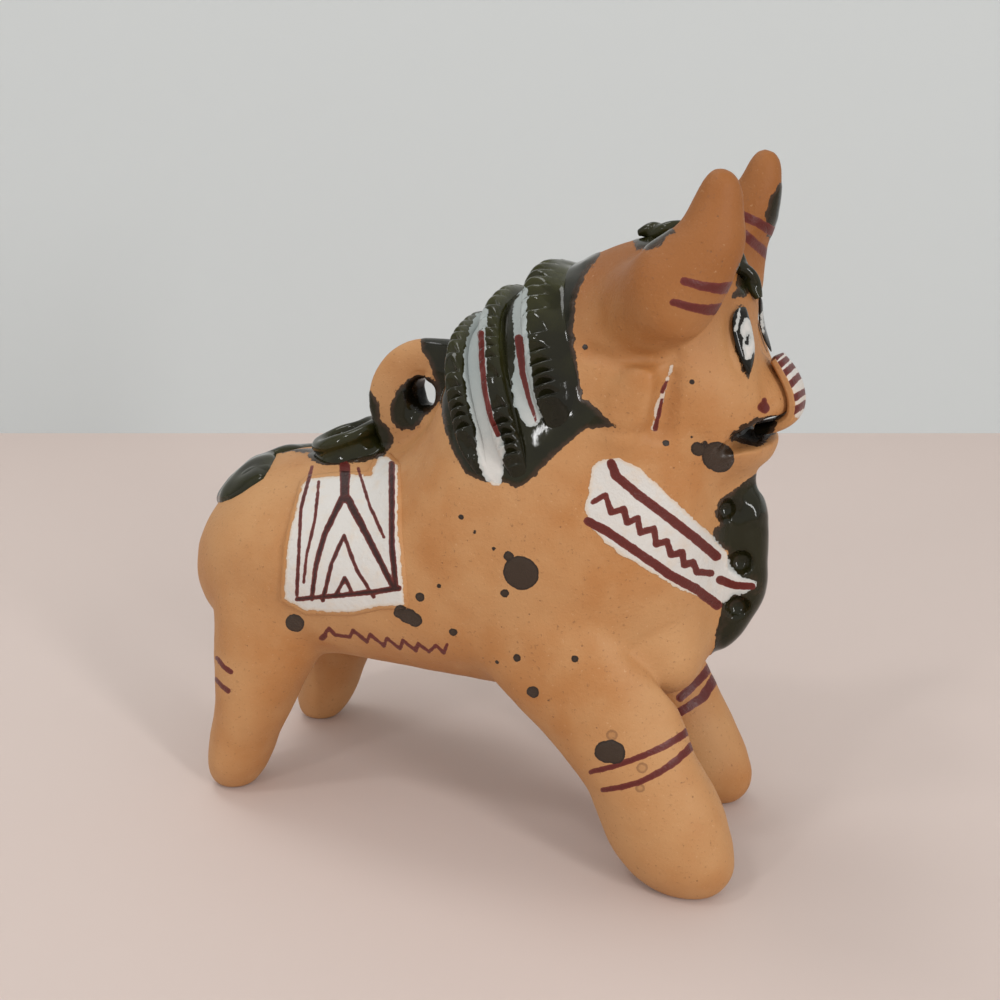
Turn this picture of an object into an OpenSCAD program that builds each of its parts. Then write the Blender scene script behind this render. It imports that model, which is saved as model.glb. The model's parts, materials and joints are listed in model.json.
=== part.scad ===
// Pottery bull vessel: press-moulded hollow body with legs, horns, mane and trimmings luted on.
// X points forward, Z points up and the bull's right flank faces -Y. All sizes are millimetres.

/* [Body] */
// How far the rump reaches behind the origin
rump_reach = 62.3; // [56:0.1:70]
// How far the chest reaches in front of the origin
chest_reach = 51; // [47:0.5:56]
// Height of the back behind the mouth of the vessel
back_height = 71; // [64:0.5:78]
// Height of the belly
belly_height = 29.5; // [25:0.5:34]
// Height of the crown of the head between the horns
crown_height = 117.5; // [112:0.5:126]
// Widest width of the body, across the shoulders
body_width = 57; // [48:1:66]
// Wall thickness of the hollow body and head
wall = 5; // [3:0.25:6]
// Thickness of the slip layer in every luted joint
slip = 0.16; // [0.1:0.01:0.3]

/* [Head] */
// How far the nose reaches in front of the origin
nose_reach = 58.9; // [57:0.2:64]
// Height of the slit of the mouth
mouth_height = 85.5; // [84.5:0.5:86]
// Depth of the mouth behind the tip of the nose
mouth_depth = 7.5; // [5:0.5:9]
// Tallest opening of the mouth
mouth_gape = 5.4; // [4.4:0.2:6]

/* [Horns, ears and eyes] */
// Distance between the tips of the horns
horn_spread = 38; // [30:1:50]
// How far the right horn leans forward from its root to its tip
horn_right_lean = 12.5; // [8:0.5:15]
// How far the left horn leans forward from its root to its tip
horn_left_lean = 11; // [8:0.5:15]
// Height of the tip of the right horn
horn_right_top = 129.8; // [125:0.1:140]
// Height of the tip of the left horn
horn_left_top = 131.5; // [125:0.1:140]
// Diameter of a horn where it leaves the head
horn_root_d = 21; // [17:0.5:23]
// Diameter of a horn just below its tip
horn_tip_d = 5.5; // [4:0.5:7]
// Length of an ear along its free rim
ear_length = 9.5; // [8:0.5:12]
// How far the free rim of an ear stands out from the head
ear_lift = 4.2; // [2.6:0.2:5]
// Height of an eye
eye_height = 13; // [10:0.5:14]
// Width of an eye
eye_width = 6.4; // [4:0.2:7.4]
// How far an eye bulges from the face
eye_bulge = 0.9; // [0.6:0.1:2]

/* [Tongue] */
// Width of the tongue
tongue_width = 8; // [6:0.5:9]
// Thickness of the tongue
tongue_thick = 2.5; // [2:0.1:3]

/* [Legs] */
// How far the front feet stand in front of the chest
front_step = 0; // [-4:0.5:4]
// How far the rear feet stand in front of the rump
rear_step = 12.2; // [9:0.2:16]
// Distance between the right and left feet
track = 35; // [31:1:40]
// Length of a front foot, along the body
front_foot = 24.5; // [19:0.5:27]
// Length of a rear foot, along the body
rear_foot = 14; // [11:0.5:17]
// Width of a foot, across the body
foot_width = 16; // [13:0.5:18]
// How far the left front foot stands behind the right one
left_setback = 4.5; // [0:0.5:6]

/* [Mane] */
// Width of a mane coil
coil_width = 5; // [3.4:0.2:5.6]
// Height of a mane coil above the neck
coil_height = 2.8; // [1.8:0.2:4]
// Depth of the notches pressed into a mane coil
notch_depth = 0.8; // [0.2:0.1:1.2]
// Number of notches along each mane coil
notches = 24; // [12:2:28]
// Diameter of the twisted forelock between the horns
forelock_d = 5; // [3.5:0.5:7]

/* [Dewlap] */
// How far the dewlap stands out from the chest
dewlap_depth = 7; // [5:0.5:9]
// Thickness of the dewlap
dewlap_thick = 10; // [8:0.5:13]
// Diameter of the pits pressed into the dewlap
pit_d = 4.6; // [3:0.2:5.4]

/* [Mouth of the vessel and handle] */
// Bore of the spout
spout_bore = 8; // [6:0.5:9]
// Outer diameter of the spout's rolled rim
spout_d = 16.5; // [15:0.5:19]
// Thickness of the handle, across the body
handle_thick = 7.6; // [6:0.2:10]
// Bore of the hole through the handle
handle_bore = 6.4; // [5:0.2:7]
// Radius of the handle's outer curve
handle_radius = 12; // [11:0.25:14]

/* [Tail and saddle cloth] */
// Width of the tail
tail_width = 11.5; // [8:0.5:13]
// Height of the tail above the rump
tail_height = 2.6; // [1.8:0.1:4]
// Thickness of a saddle cloth
cloth_thick = 0.9; // [0.5:0.1:1.6]
// Length of a saddle cloth, along the body
cloth_length = 25; // [18:0.5:28]
// Drop of a saddle cloth, down the flank
cloth_drop = 28; // [22:0.5:31]

/* [Hidden] */

// Colours of the bare clay, the dark glaze and the white slip
clay = [0.72, 0.48, 0.28];
glaze = [0.13, 0.13, 0.08];
white = [0.80, 0.79, 0.75];

// Heights and reaches of the plain form, and the sizes that they are stretched to
plain_z = [0, 29.5, 71, 117.5];
real_z = [0, belly_height, back_height, crown_height];
plain_x = [-62.5, 0, 51];
real_x = [-rump_reach, 0, chest_reach];

// Sections of the plain form from rump to nose: top x, top z, low x, low z, share of the half width
sections = [
    [-62.5, 47, -62.5, 47, 0],
    [-60.6, 55, -61, 38, 0.36],
    [-55.5, 62.4, -56, 31.5, 0.64],
    [-47.5, 68.6, -45, 29.5, 0.84],
    [-36, 71, -31, 29.5, 0.93],
    [-24, 72.6, -15, 29.5, 0.97],
    [-12.5, 75.8, 0, 29.5, 0.98],
    [-4.5, 85.5, 14, 29, 1],
    [-0.8, 98, 28, 29, 1],
    [7, 104.5, 41, 31, 0.97],
    [14, 109, 48.5, 41, 0.90],
    [20, 111.8, 51, 53, 0.82],
    [26, 114.8, 51.5, 65, 0.75],
    [32, 117, 51.5, 73.5, 0.71],
    [39, 117.5, 55, 77, 0.66],
    [46, 115.3, 57.2, 79, 0.54],
    [50.8, 110.5, 57.9, 81, 0.43],
    [53.4, 105.5, 58.6, 83.5, 0.32],
    [54.4, 98.6, 58.9, 85.5, 0.24],
    [57, 94, 59, 87, 0.18],
    [58.9, 90.5, 58.9, 90.5, 0]
];
nose_section = len(sections) - 1;
neck_section = 11.5;
hollow_start = 1.8;
hollow_end = 13.3;

// The muzzle, from the brow onwards, moves with the nose
plain_nose = 58.9;
brow_section = 13;
muzzle_section = 16;
ring_step = 0.5;
half_sides = 14;
cap_shares = [0.4, 0.75, 1];

function lerp(a, b, s) = a + (b - a) * s;
function unit(v) = v / norm(v);

// Value on the broken line that carries the plain values to the real ones
function stretch(v, plain, real) =
    let (i = max([for (k = [0:len(plain) - 2]) if (k == 0 || v >= plain[k]) k]))
    lerp(real[i], real[i + 1], (v - plain[i]) / (plain[i + 1] - plain[i]));
function place_x(v) = stretch(v, plain_x, real_x);
function place_z(v) = stretch(v, plain_z, real_z);

function muzzle_shift(i) =
    let (share = (i - brow_section) / (muzzle_section - brow_section))
    (nose_reach - place_x(plain_nose)) * min(max(share, 0), 1);

body = [for (i = [0:nose_section]) let (s = sections[i], shift = muzzle_shift(i))
    [place_x(s[0]) + shift, place_z(s[1]), place_x(s[2]) + shift, place_z(s[3]), s[4] * body_width / 2]];

// Smooth curve through the rows of v, at place t counted in rows
function curve(v, t) =
    let (n = len(v) - 1, i = max(min(floor(t), n - 1), 0), s = t - i,
         a = v[max(i - 1, 0)], b = v[i], c = v[i + 1], d = v[min(i + 2, n)])
    b + s / 2 * ((c - a) + s * ((2 * a - 5 * b + 4 * c - d) + s * (3 * (b - c) + d - a)));

// Point of the body's skin in section t, at angle a from the top with the right side positive
function skin(t, a, inset = 0) =
    let (s = curve(body, t), top = [s[0], s[1]], low = [s[2], s[3]], half = (top - low) / 2,
         size = max(norm(half), 0.01), middle = (top + low) / 2,
         reach = middle + half * cos(a) * (size - inset) / size)
    [reach[0], -(s[4] - inset) * sin(a), reach[1]];

// Outward direction of the skin, and a point raised off it
function skin_normal(t, a) =
    let (along = skin(t + 0.02, a) - skin(t - 0.02, a), around = skin(t, a + 1) - skin(t, a - 1))
    unit(cross(around, along));
function raised(t, a, h) = skin(t, a) + h * skin_normal(t, a);

// Millimetres of skin to one section, and to one degree
function section_pitch(t, a) = norm(skin(t + 0.05, a) - skin(t - 0.05, a)) / 0.1;
function degree_pitch(t, a) = norm(skin(t, a + 1) - skin(t, a - 1)) / 2;

// Closed form over rings of equal count, from a pole before the first to a pole after the last
module loft(first_pole, rings, last_pole) {
    m = len(rings[0]);
    n = len(rings);
    end = n * m + 1;
    polyhedron(
        concat([first_pole], [for (r = rings) each r], [last_pole]),
        concat(
            [for (j = [0:m - 1]) [0, 1 + j, 1 + (j + 1) % m]],
            [for (i = [0:n - 2], j = [0:m - 1]) each
                let (a = 1 + i * m + j, b = 1 + i * m + (j + 1) % m) [[a, a + m, b], [b, a + m, b + m]]],
            [for (j = [0:m - 1]) [end - m + j, end, end - m + (j + 1) % m]]),
        convexity = 10);
}

// Signed power, for squared circles
function squared(v, n) = sign(v) * pow(abs(v), 2 / n);

// Ring on the skin round the place (t, a): half length along the body, half height round it
function patch(t, a, half_long, half_high, share, h, count) =
    let (dt = half_long / section_pitch(t, a), da = half_high / degree_pitch(t, a))
    [for (i = [0:count - 1]) let (q = 360 * i / count)
        raised(t + share * dt * cos(q), a - share * da * sin(q), h)];

// Ring of a limb round a centre, facing along its direction, first point to the front
function limb_ring(centre, direction, front, half_front, half_side, count) =
    let (d = unit(direction), f = unit(front - (front * d) * d), side = cross(d, f))
    [for (i = [0:count - 1]) let (q = 360 * i / count)
        centre + f * half_front * cos(q) + side * half_side * sin(q)];

// Arched strip laid on the skin: width runs along the body or round it
function arch(t, a, half_width, height, lengthwise, steps = 6) =
    let (pitch = lengthwise ? section_pitch(t, a) : degree_pitch(t, a),
         over = [for (i = [0:steps]) let (q = 180 * i / steps) [cos(q) * half_width, height * sin(q)]],
         under = [for (s = [-0.5, 0, 0.5]) [s * half_width, 0]])
    [for (p = concat(over, under)) let (shift = p[0] / pitch)
        lengthwise ? raised(t + shift, a, slip + p[1]) : raised(t, a - shift, slip + p[1])];

// Body

// Right half of the hollow torso, from the rump to the neck joint, meeting its twin on Y = 0
module torso_shell() {
    k = half_sides;
    outer_places = [for (t = [ring_step:ring_step:neck_section]) t];
    n = len(outer_places);
    inner_places = [for (i = [0:n - 1]) lerp(hollow_start + 0.2, neck_section, i / (n - 1))];
    outer = [for (t = outer_places, j = [0:k]) skin(t, 180 * j / k)];
    inner = [for (t = inner_places, j = [0:k]) skin(t, 180 * j / k, wall)];
    poles = [skin(0, 0), skin(hollow_start, 90) + [0, -skin(hollow_start, 90)[1], 0]];
    row = k + 1;
    first_inner = 2 + n * row;
    function at(i, j) = 2 + i * row + j;
    function inside(i, j) = first_inner + i * row + j;
    function quad(a, b, c, d) = [[a, b, c], [a, c, d]];
    polyhedron(
        concat(poles, outer, inner),
        concat(
            [for (j = [0:k - 1]) [0, at(0, j), at(0, j + 1)]],
            [for (j = [0:k - 1]) [1, inside(0, j + 1), inside(0, j)]],
            [for (i = [0:n - 2], j = [0:k - 1]) each
                quad(at(i, j), at(i + 1, j), at(i + 1, j + 1), at(i, j + 1))],
            [for (i = [0:n - 2], j = [0:k - 1]) each
                quad(inside(i, j), inside(i, j + 1), inside(i + 1, j + 1), inside(i + 1, j))],
            [for (j = [0:k - 1]) each
                quad(at(n - 1, j), inside(n - 1, j), inside(n - 1, j + 1), at(n - 1, j + 1))],
            [for (i = [0:n - 2]) each quad(at(i, 0), inside(i, 0), inside(i + 1, 0), at(i + 1, 0))],
            [for (i = [0:n - 2]) each quad(at(i, k), at(i + 1, k), inside(i + 1, k), inside(i, k))],
            quad(0, 1, inside(0, 0), at(0, 0)),
            quad(0, at(0, k), inside(0, k), 1)),
        convexity = 10);
}

// Both halves are bored for the neck of the spout
module torso_right_half() {
    color(clay)
        difference() {
            torso_shell();
            spout_place()
                cylinder(d = spout_neck_d + 2 * slip, h = 4 * wall, center = true, $fn = 64);
        }
}

module torso_left_half() {
    mirror([0, 1, 0])
        torso_right_half();
}

// Hollow head, open at the neck joint, with the mouth cut into the muzzle
module head() {
    sides = 2 * half_sides;
    outer_places = [for (t = [neck_section:ring_step:nose_section - ring_step]) t];
    inner_places = [for (i = [0:3]) lerp(neck_section, hollow_end - ring_step, i / 3)];
    function ring(t, inset) = [for (j = [0:sides - 1]) skin(t, 360 * j / sides, inset)];
    hollow_tip = skin(hollow_end, 90);
    color(clay)
        difference() {
            loft(
                [hollow_tip[0], 0, hollow_tip[2]],
                concat(
                    [for (i = [3:-1:0]) ring(inner_places[i], wall)],
                    [for (t = outer_places) ring(t, 0)]),
                skin(nose_section, 0));
            mouth_cut();
        }
}

// Wedge of the mouth, deepest at its corners and open at the lips
module mouth_cut() {
    corner = nose_reach - mouth_depth;
    translate([0, body_width / 2, 0])
        rotate([90, 0, 0])
            linear_extrude(body_width)
                polygon([
                    [corner, mouth_height - 0.35 * mouth_gape],
                    [corner + 0.25 * mouth_depth, mouth_height + 0.12 * mouth_gape],
                    [corner + 0.6 * mouth_depth, mouth_height + 0.4 * mouth_gape],
                    [nose_reach + mouth_depth, mouth_height + 0.5 * mouth_gape],
                    [nose_reach + mouth_depth, mouth_height - 0.5 * mouth_gape],
                    [corner + 0.2 * mouth_depth, mouth_height - 0.5 * mouth_gape]
                ]);
}

// Tongue

// Middle line of the tongue in the X-Z plane, from its root in the mouth to its tip on the nose
tongue_root = nose_reach - 0.55 * mouth_depth;
tongue_level = mouth_height - 0.02 * mouth_gape;
tongue_front = nose_reach + tongue_thick / 2 + 0.7;
tongue_line = [
    [tongue_root, tongue_level - 0.9],
    [nose_reach - 1.2, tongue_level],
    [tongue_front - 0.1, tongue_level + 1.9],
    [tongue_front + 0.35, tongue_level + 4.7],
    [tongue_front - 0.45, tongue_level + 7.5],
    [tongue_front - 1.95, tongue_level + 10],
    [tongue_front - 3.6, tongue_level + 12]
];
tongue_shares = [0.75, 0.9, 1, 1, 1, 0.92, 0.7];
tongue_sides = 14;
tongue_steps = 12;
tongue_tip = [-0.8, 0, 0.2];

module tongue() {
    last = len(tongue_line) - 1;
    function line(s) = let (p = curve(tongue_line, s)) [p[0], 0, p[1]];
    function ring(s) =
        let (d = unit(line(s + 0.02) - line(s - 0.02)), out = cross(d, [0, 1, 0]),
             share = curve(tongue_shares, s))
        [for (i = [0:tongue_sides - 1]) let (q = 360 * i / tongue_sides)
            line(s) + out * squared(cos(q), 3) * tongue_thick / 2 * lerp(1, share, 0.5)
            - [0, 1, 0] * squared(sin(q), 3) * tongue_width / 2 * share];
    color(clay)
        loft(line(0), [for (i = [0:tongue_steps]) ring(last * i / tongue_steps)], line(last) + tongue_tip);
}

// Legs

leg_sides = 20;
leg_steps = 9;

// Leg luted under the body: seat is [section, angle, half length, half height] on the skin,
// and stations run from knee to sole as [height, x, half length, half width]
module leg(seat, stations, y) {
    root = patch(seat[0], seat[1], seat[2], seat[3], 1, slip, leg_sides);
    rings = concat([root], [for (s = stations)
        limb_ring([s[1], -y, s[0]], [0, 0, -1], [1, 0, 0], s[2], s[3], leg_sides)]);
    caps = [for (share = [cap_shares[0], cap_shares[1]])
        patch(seat[0], seat[1], seat[2], seat[3], share, slip, leg_sides)];
    sole = stations[len(stations) - 1];
    last = len(rings) - 1;
    color(clay)
        loft(
            raised(seat[0], seat[1], slip),
            concat(caps, [for (i = [0:leg_steps]) curve(rings, last * i / leg_steps)]),
            [sole[1], -y, 0]);
}

front_x = chest_reach + front_step;
rear_x = rear_step - rump_reach;
front_leg_seat = [8.2, 130, 16.5, 14];
rear_leg_seat = [3.4, 128, 13.5, 14];
seat_setback = 0.14;
lean_back = 0.8;

// Rows from knee to sole: share of the belly height, distance in front of the foot's place,
// half length as a share of the foot's length and half width as a share of its width
front_leg_rows = [
    [0.75, -9.8, 0.53, 0.58],
    [0.45, -5.8, 0.52, 0.55],
    [0.2, -3.2, 0.48, 0.5],
    [0.04, -1.9, 0.32, 0.32],
    [0, -1.8, 0.22, 0.22]
];
rear_leg_rows = [
    [0.75, 7.4, 0.62, 0.58],
    [0.45, 4.1, 0.53, 0.52],
    [0.2, 1.8, 0.48, 0.48],
    [0.04, 0.5, 0.36, 0.32],
    [0, 0.4, 0.26, 0.22]
];
function leg_stations(rows, x, foot_length, setback = 0) =
    [for (r = rows)
        [r[0] * belly_height, x + r[1] - setback * (1 + lean_back * r[0]), r[2] * foot_length, r[3] * foot_width]];

// Right front leg, or its mirror image, with the foot set back by the given distance and the seat with it
module front_leg(setback) {
    seat = front_leg_seat - [setback * seat_setback, 0, 0, 0];
    leg(seat, leg_stations(front_leg_rows, front_x, front_foot, setback), track / 2);
}

module leg_front_right() {
    front_leg(0);
}

module leg_front_left() {
    mirror([0, 1, 0])
        front_leg(left_setback);
}

module leg_rear_right() {
    leg(rear_leg_seat, leg_stations(rear_leg_rows, rear_x, rear_foot), track / 2);
}

module leg_rear_left() {
    mirror([0, 1, 0])
        leg_rear_right();
}

// Horns, ears and eyes

horn_seat = [13.4, 52];
horn_sides = 20;
horn_steps = 12;

// Right horn: a fat root on the side of the head that sweeps out, forward and up to a blunt tip;
// bow is the share of the lean that it has made when it is half out
module horn(top, lean, bow) {
    t = horn_seat[0];
    a = horn_seat[1];
    r = horn_root_d / 2;
    start = raised(t, a, slip);
    tip = [start[0] + lean, -horn_spread / 2, top];
    rise = top - start[2];
    elbow = start + [0.45 * lean, -0.45 * r, 0.04 * rise];
    function along(across, out, up) =
        [lerp(elbow[0], tip[0], across), lerp(elbow[1], tip[1], out), lerp(elbow[2], tip[2], up)];
    middle = along(bow, 0.6, 0.41);
    high = along(0.85, 0.95, 0.7);
    near_tip = along(0.98, 1, 0.9);
    root = patch(t, a, r, r, 1, slip, horn_sides);
    function ring(centre, direction, size) =
        limb_ring(centre, direction, [1, 0, 0], size, size, horn_sides);
    rings = [
        root,
        ring(elbow, middle - start, 0.82 * r),
        ring(middle, high - elbow, 0.58 * r),
        ring(high, tip - middle, lerp(horn_tip_d / 2, r, 0.16)),
        ring(near_tip, tip - high, horn_tip_d / 2),
        ring(tip - [0, 0, 0.06 * horn_tip_d], tip - high, 0.25 * horn_tip_d)
    ];
    caps = [for (share = [cap_shares[0], cap_shares[1]]) patch(t, a, r, r, share, slip, horn_sides)];
    last = len(rings) - 1;
    color(clay)
        loft(start, concat(caps, [for (i = [0:horn_steps]) curve(rings, last * i / horn_steps)]), tip);
}

module horn_right() {
    horn(horn_right_top, horn_right_lean, 0.8);
}

module horn_left() {
    mirror([0, 1, 0])
        horn(horn_left_top, horn_left_lean, 0.4);
}

// An ear sits on the side of the head, its upper end just below the root of the horn
ear_section = 12.1;
ear_gap = 0.7;
ear_seat = [ear_section, horn_seat[1]
    + ((horn_root_d + ear_length) / 2 + ear_gap) / degree_pitch(ear_section, 75)];
ear_half_long = 8;
ear_sides = 18;

// Right ear: a leaf that lies back along the head below the horn and rises to a free rim in front
module ear_right() {
    t = ear_seat[0];
    a = ear_seat[1];
    dt = ear_half_long / section_pitch(t, a);
    da = ear_length / 2 / degree_pitch(t, a);
    function point(along, round, rise) =
        raised(t + along * dt, a - round * da, slip + rise * ear_lift * (0.55 + 0.45 * along));
    function ring(share, rise) = [for (i = [0:ear_sides - 1]) let (q = 360 * i / ear_sides)
        point(share * cos(q), share * sin(q), rise)];
    color(clay)
        loft(
            point(0, 0, 0),
            [
                ring(cap_shares[0], 0), ring(cap_shares[1], 0), ring(1, 0),
                ring(1, 0.6), ring(0.85, 0.95), ring(0.45, 1)
            ],
            point(0, 0, 0.95));
}

module ear_left() {
    mirror([0, 1, 0])
        ear_right();
}

eye_seat = [16.35, 60.5];
eye_sides = 18;

// Right eye: an almond boss, pointed above and below
module eye_right() {
    t = eye_seat[0];
    a = eye_seat[1];
    da = eye_height / 2 / degree_pitch(t, a);
    dt = eye_width / 2 / section_pitch(t, a);
    function ring(share, h) = [for (i = [0:eye_sides - 1]) let (q = 360 * i / eye_sides)
        raised(t + share * dt * cos(q) * abs(cos(q)), a - share * da * sin(q), h)];
    color(white)
        loft(
            raised(t, a, slip),
            [
                ring(0.6, slip), ring(1, slip), ring(0.92, slip + 0.5 * eye_bulge),
                ring(0.55, slip + 0.9 * eye_bulge)
            ],
            raised(t, a, slip + eye_bulge));
}

module eye_left() {
    mirror([0, 1, 0])
        eye_right();
}

// Mane and forelock

// Mane coil over the neck: section on the crest, section at its ends, angle of its ends, share of the width
coil_rear = [8.25, 8.5, 73, 1];
coil_middle = [9.13, 9.12, 78, 1.1];
coil_front = [10.4, 10.08, 74, 1.2];

// Roll of clay laid over the neck from side to side, notched all along
module mane_coil(course) {
    steps = 2 * notches;
    function place(i) = lerp(course[0], course[1], pow(abs(2 * i / steps - 1), 2));
    function angle(i) = lerp(-course[2], course[2], i / steps);
    function press(i) = (i % 2 == 0 ? 0 : notch_depth);
    half = course[3] * coil_width / 2;
    color(glaze)
        loft(
            raised(place(0), angle(0) - 2, slip + 0.2 * coil_height),
            [for (i = [0:steps]) arch(place(i), angle(i),
                (i == 0 || i == steps) ? half / 2 : half - press(i) / 3,
                ((i == 0 || i == steps) ? coil_height / 2 : coil_height) - press(i), true)],
            raised(place(steps), angle(steps) + 2, slip + 0.2 * coil_height));
}

module mane_coil_rear() {
    mane_coil(coil_rear);
}

module mane_coil_middle() {
    mane_coil(coil_middle);
}

module mane_coil_front() {
    mane_coil(coil_front);
}

forelock_start = 13.4;
forelock_end = 15.75;
forelock_turns = 2.5;

// Two strands twisted together along the crown, between the horns
module forelock_twist() {
    steps = 20;
    sides = 12;
    r = forelock_d / 2;
    function ring(i) =
        let (s = i / steps, t = lerp(forelock_start, forelock_end, s), n = skin_normal(t, 0),
             size = r * pow(sin(12 + 156 * s), 0.5), turn = 360 * forelock_turns * s,
             centre = raised(t, 0, slip + 0.86 * r))
        [for (j = [0:sides - 1]) let (q = 360 * j / sides, w = size * (0.86 + 0.14 * cos(2 * (q - turn))))
            centre + [0, -1, 0] * w * sin(q) + n * w * cos(q)];
    color(glaze)
        loft(
            raised(forelock_start - 0.12, 0, slip + 0.6 * r),
            [for (i = [0:steps]) ring(i)],
            raised(forelock_end + 0.1, 0, slip + 0.6 * r));
}

// Dewlap

dewlap_low = 9.7;
dewlap_high = 13.6;

// Pits of the dewlap: section, and share of the depth at which they are pressed
dewlap_pits = [[10.9, 0.5], [11.65, 0.42], [12.5, 0.2]];

// Fin down the middle of the chest, swelling between the pits pressed into both its sides
module dewlap() {
    steps = 16;
    function depth(s) = dewlap_depth * pow(sin(8 + 164 * s), 0.5) * lerp(1.2, 0.72, s) * (1 + 0.05 * cos(1080 * s));
    color(glaze)
        difference() {
            loft(
                raised(dewlap_low - 0.15, 180, slip + 0.3),
                [for (i = [0:steps]) let (s = i / steps)
                    arch(lerp(dewlap_low, dewlap_high, s), 180, dewlap_thick / 2 * pow(sin(15 + 150 * s), 0.4),
                        depth(s), false)],
                raised(dewlap_high + 0.1, 180, slip + 0.3));
            for (pit = dewlap_pits, side = [-1, 1])
                translate(raised(pit[0], 180, pit[1] * dewlap_depth) + [0, side * 0.56 * dewlap_thick, 0])
                    sphere(d = pit_d, $fn = 32);
        }
}

// Mouth of the vessel and handle

spout_section = 4.65;
spout_tilt = 20;
spout_wall = 2;
spout_neck_d = spout_bore + 2 * spout_wall;
spout_rim_r = (spout_d - spout_bore) / 4;

module spout_place() {
    translate(skin(spout_section, 0))
        rotate([0, -spout_tilt, 0])
            children();
}

// Slab of the back round the spout, one slip layer above the skin, that the rim beds down on
module back_bed() {
    half_span = spout_d / section_pitch(spout_section, 0);
    half_turn = spout_d / degree_pitch(spout_section, 0);
    places = [for (i = [0:6]) lerp(spout_section - half_span, spout_section + half_span, i / 6)];
    angles = [for (j = [0:8]) lerp(-half_turn, half_turn, j / 8)];
    deep = skin(spout_section, 0)[2] - 2 * wall;
    rings = [for (t = places)
        let (over = [for (a = angles) raised(t, a, slip)], first = over[0], last = over[len(over) - 1])
        concat(over, [[last[0], last[1], deep], [first[0], first[1], deep]])];
    function middle(r) = [r[4][0], 0, (r[4][2] + deep) / 2];
    loft(middle(rings[0]), rings, middle(rings[6]));
}

// Rolled rim with a neck that passes through the wall of the body
module spout_ring() {
    rim_radius = spout_bore / 2 + spout_rim_r;
    rim_lift = 0.9 * spout_rim_r + 1.2;
    color(glaze)
        difference() {
            union() {
                difference() {
                    spout_place()
                        rotate_extrude($fn = 64)
                            union() {
                                translate([rim_radius, rim_lift])
                                    circle(r = spout_rim_r, $fn = 32);
                                translate([spout_bore / 2 + 0.4 * spout_rim_r, -1.5])
                                    square([1.35 * spout_rim_r, rim_lift + 1.5]);
                            }
                    back_bed();
                }
                spout_place()
                    translate([0, 0, -wall - 1])
                        cylinder(d = spout_neck_d, h = wall + 1 + rim_lift, $fn = 64);
            }
            spout_place()
                cylinder(d = spout_bore, h = 6 * wall, center = true, $fn = 64);
        }
}

handle_start = 5;
handle_end = 7.85;
handle_middle = -11.2;
handle_hole = [0.9, 1.4];
handle_bed = slip + 0.12;

// Pierced loop between the spout and the mane: slices that stand on the back and close on the neck,
// hollowed where its foot meets the rim of the spout
module handle() {
    steps = 14;
    hx = place_x(handle_middle);
    hz = skin(handle_start, 0)[2] + handle_radius - 0.5;
    function top_z(x) =
        x < hx ? hz + sqrt(max(handle_radius * handle_radius - (x - hx) * (x - hx), 0)) : hz + handle_radius;
    function slice(i) =
        let (s = i / steps, t = lerp(handle_start, handle_end, s), base = skin(t, 0),
             half = handle_thick / 2 * (0.72 + 0.28 * min(1, 5 * s)),
             da = asin(min(half / curve(body, t)[4], 0.9)),
             edge = raised(t, da, handle_bed), crest = max(top_z(base[0]), edge[2] + 0.6),
             over = [for (k = [0:8]) let (q = 180 * k / 8)
                [edge[0], half * squared(cos(q), 3.2), edge[2] + (crest - edge[2]) * squared(sin(q), 3.2)]],
             under = [for (k = [0.6, 0, -0.6]) raised(t, k * da, handle_bed)])
        concat(over, under);
    first = slice(0);
    end = raised(handle_end + 0.2, 0, handle_bed + 0.3);
    color(clay)
        difference() {
            loft((first[4] + first[10]) / 2, [for (i = [0:steps]) slice(i)], end);
            translate([hx + handle_hole[0], 0, hz + handle_hole[1]])
                rotate([90, 0, 0])
                    cylinder(d = handle_bore, h = 3 * handle_thick, center = true, $fn = 64);
            spout_place()
                cylinder(d = spout_d + 2 * slip, h = 3 * spout_d, center = true, $fn = 64);
        }
}

// Tail and saddle cloths

tail_root = 3.15;
tail_end = 1.05;

// Roll of clay laid down the middle of the rump
module tail() {
    steps = 12;
    color(glaze)
        loft(
            raised(tail_end - 0.12, 0, slip + 0.3 * tail_height),
            [for (i = [0:steps]) let (s = i / steps, full = pow(sin(20 + 140 * s), 0.5))
                arch(lerp(tail_end, tail_root, s), 0, tail_width / 2 * full, tail_height * full, false)],
            raised(tail_root + 0.1, 0, slip + 0.3 * tail_height));
}

cloth_seat = [5.35, 65.5];
cloth_side_steps = 9;

// Place on the outline of a two by two square, s counted in sides from the lower front corner
function on_square(s) =
    let (f = 2 * (s - floor(s)) - 1)
    [[1, f], [-f, 1], [-1, -f], [f, -1]][floor(s)];

// Thin slab of clay pressed on the right flank below the spout
module saddle_cloth_right() {
    t = cloth_seat[0];
    a = cloth_seat[1];
    dt = cloth_length / 2 / section_pitch(t, a);
    da = cloth_drop / 2 / degree_pitch(t, a);
    function ring(share, h) =
        [for (i = [0:4 * cloth_side_steps - 1]) let (p = share * on_square(i / cloth_side_steps))
            raised(t + p[0] * dt, a - p[1] * da, h)];
    shares = [0.25, 0.5, 0.75, 1];
    color(white)
        loft(
            raised(t, a, slip),
            concat(
                [for (s = shares) ring(s, slip)],
                [for (i = [3:-1:0]) ring(shares[i], slip + cloth_thick * (i == 3 ? 0.7 : 1))]),
            raised(t, a, slip + cloth_thick));
}

module saddle_cloth_left() {
    mirror([0, 1, 0])
        saddle_cloth_right();
}

torso_right_half();
torso_left_half();
head();
leg_front_right();
leg_front_left();
leg_rear_right();
leg_rear_left();
horn_right();
horn_left();
ear_right();
ear_left();
eye_right();
eye_left();
tongue();
mane_coil_rear();
mane_coil_middle();
mane_coil_front();
forelock_twist();
dewlap();
handle();
spout_ring();
tail();
saddle_cloth_right();
saddle_cloth_left();
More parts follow.
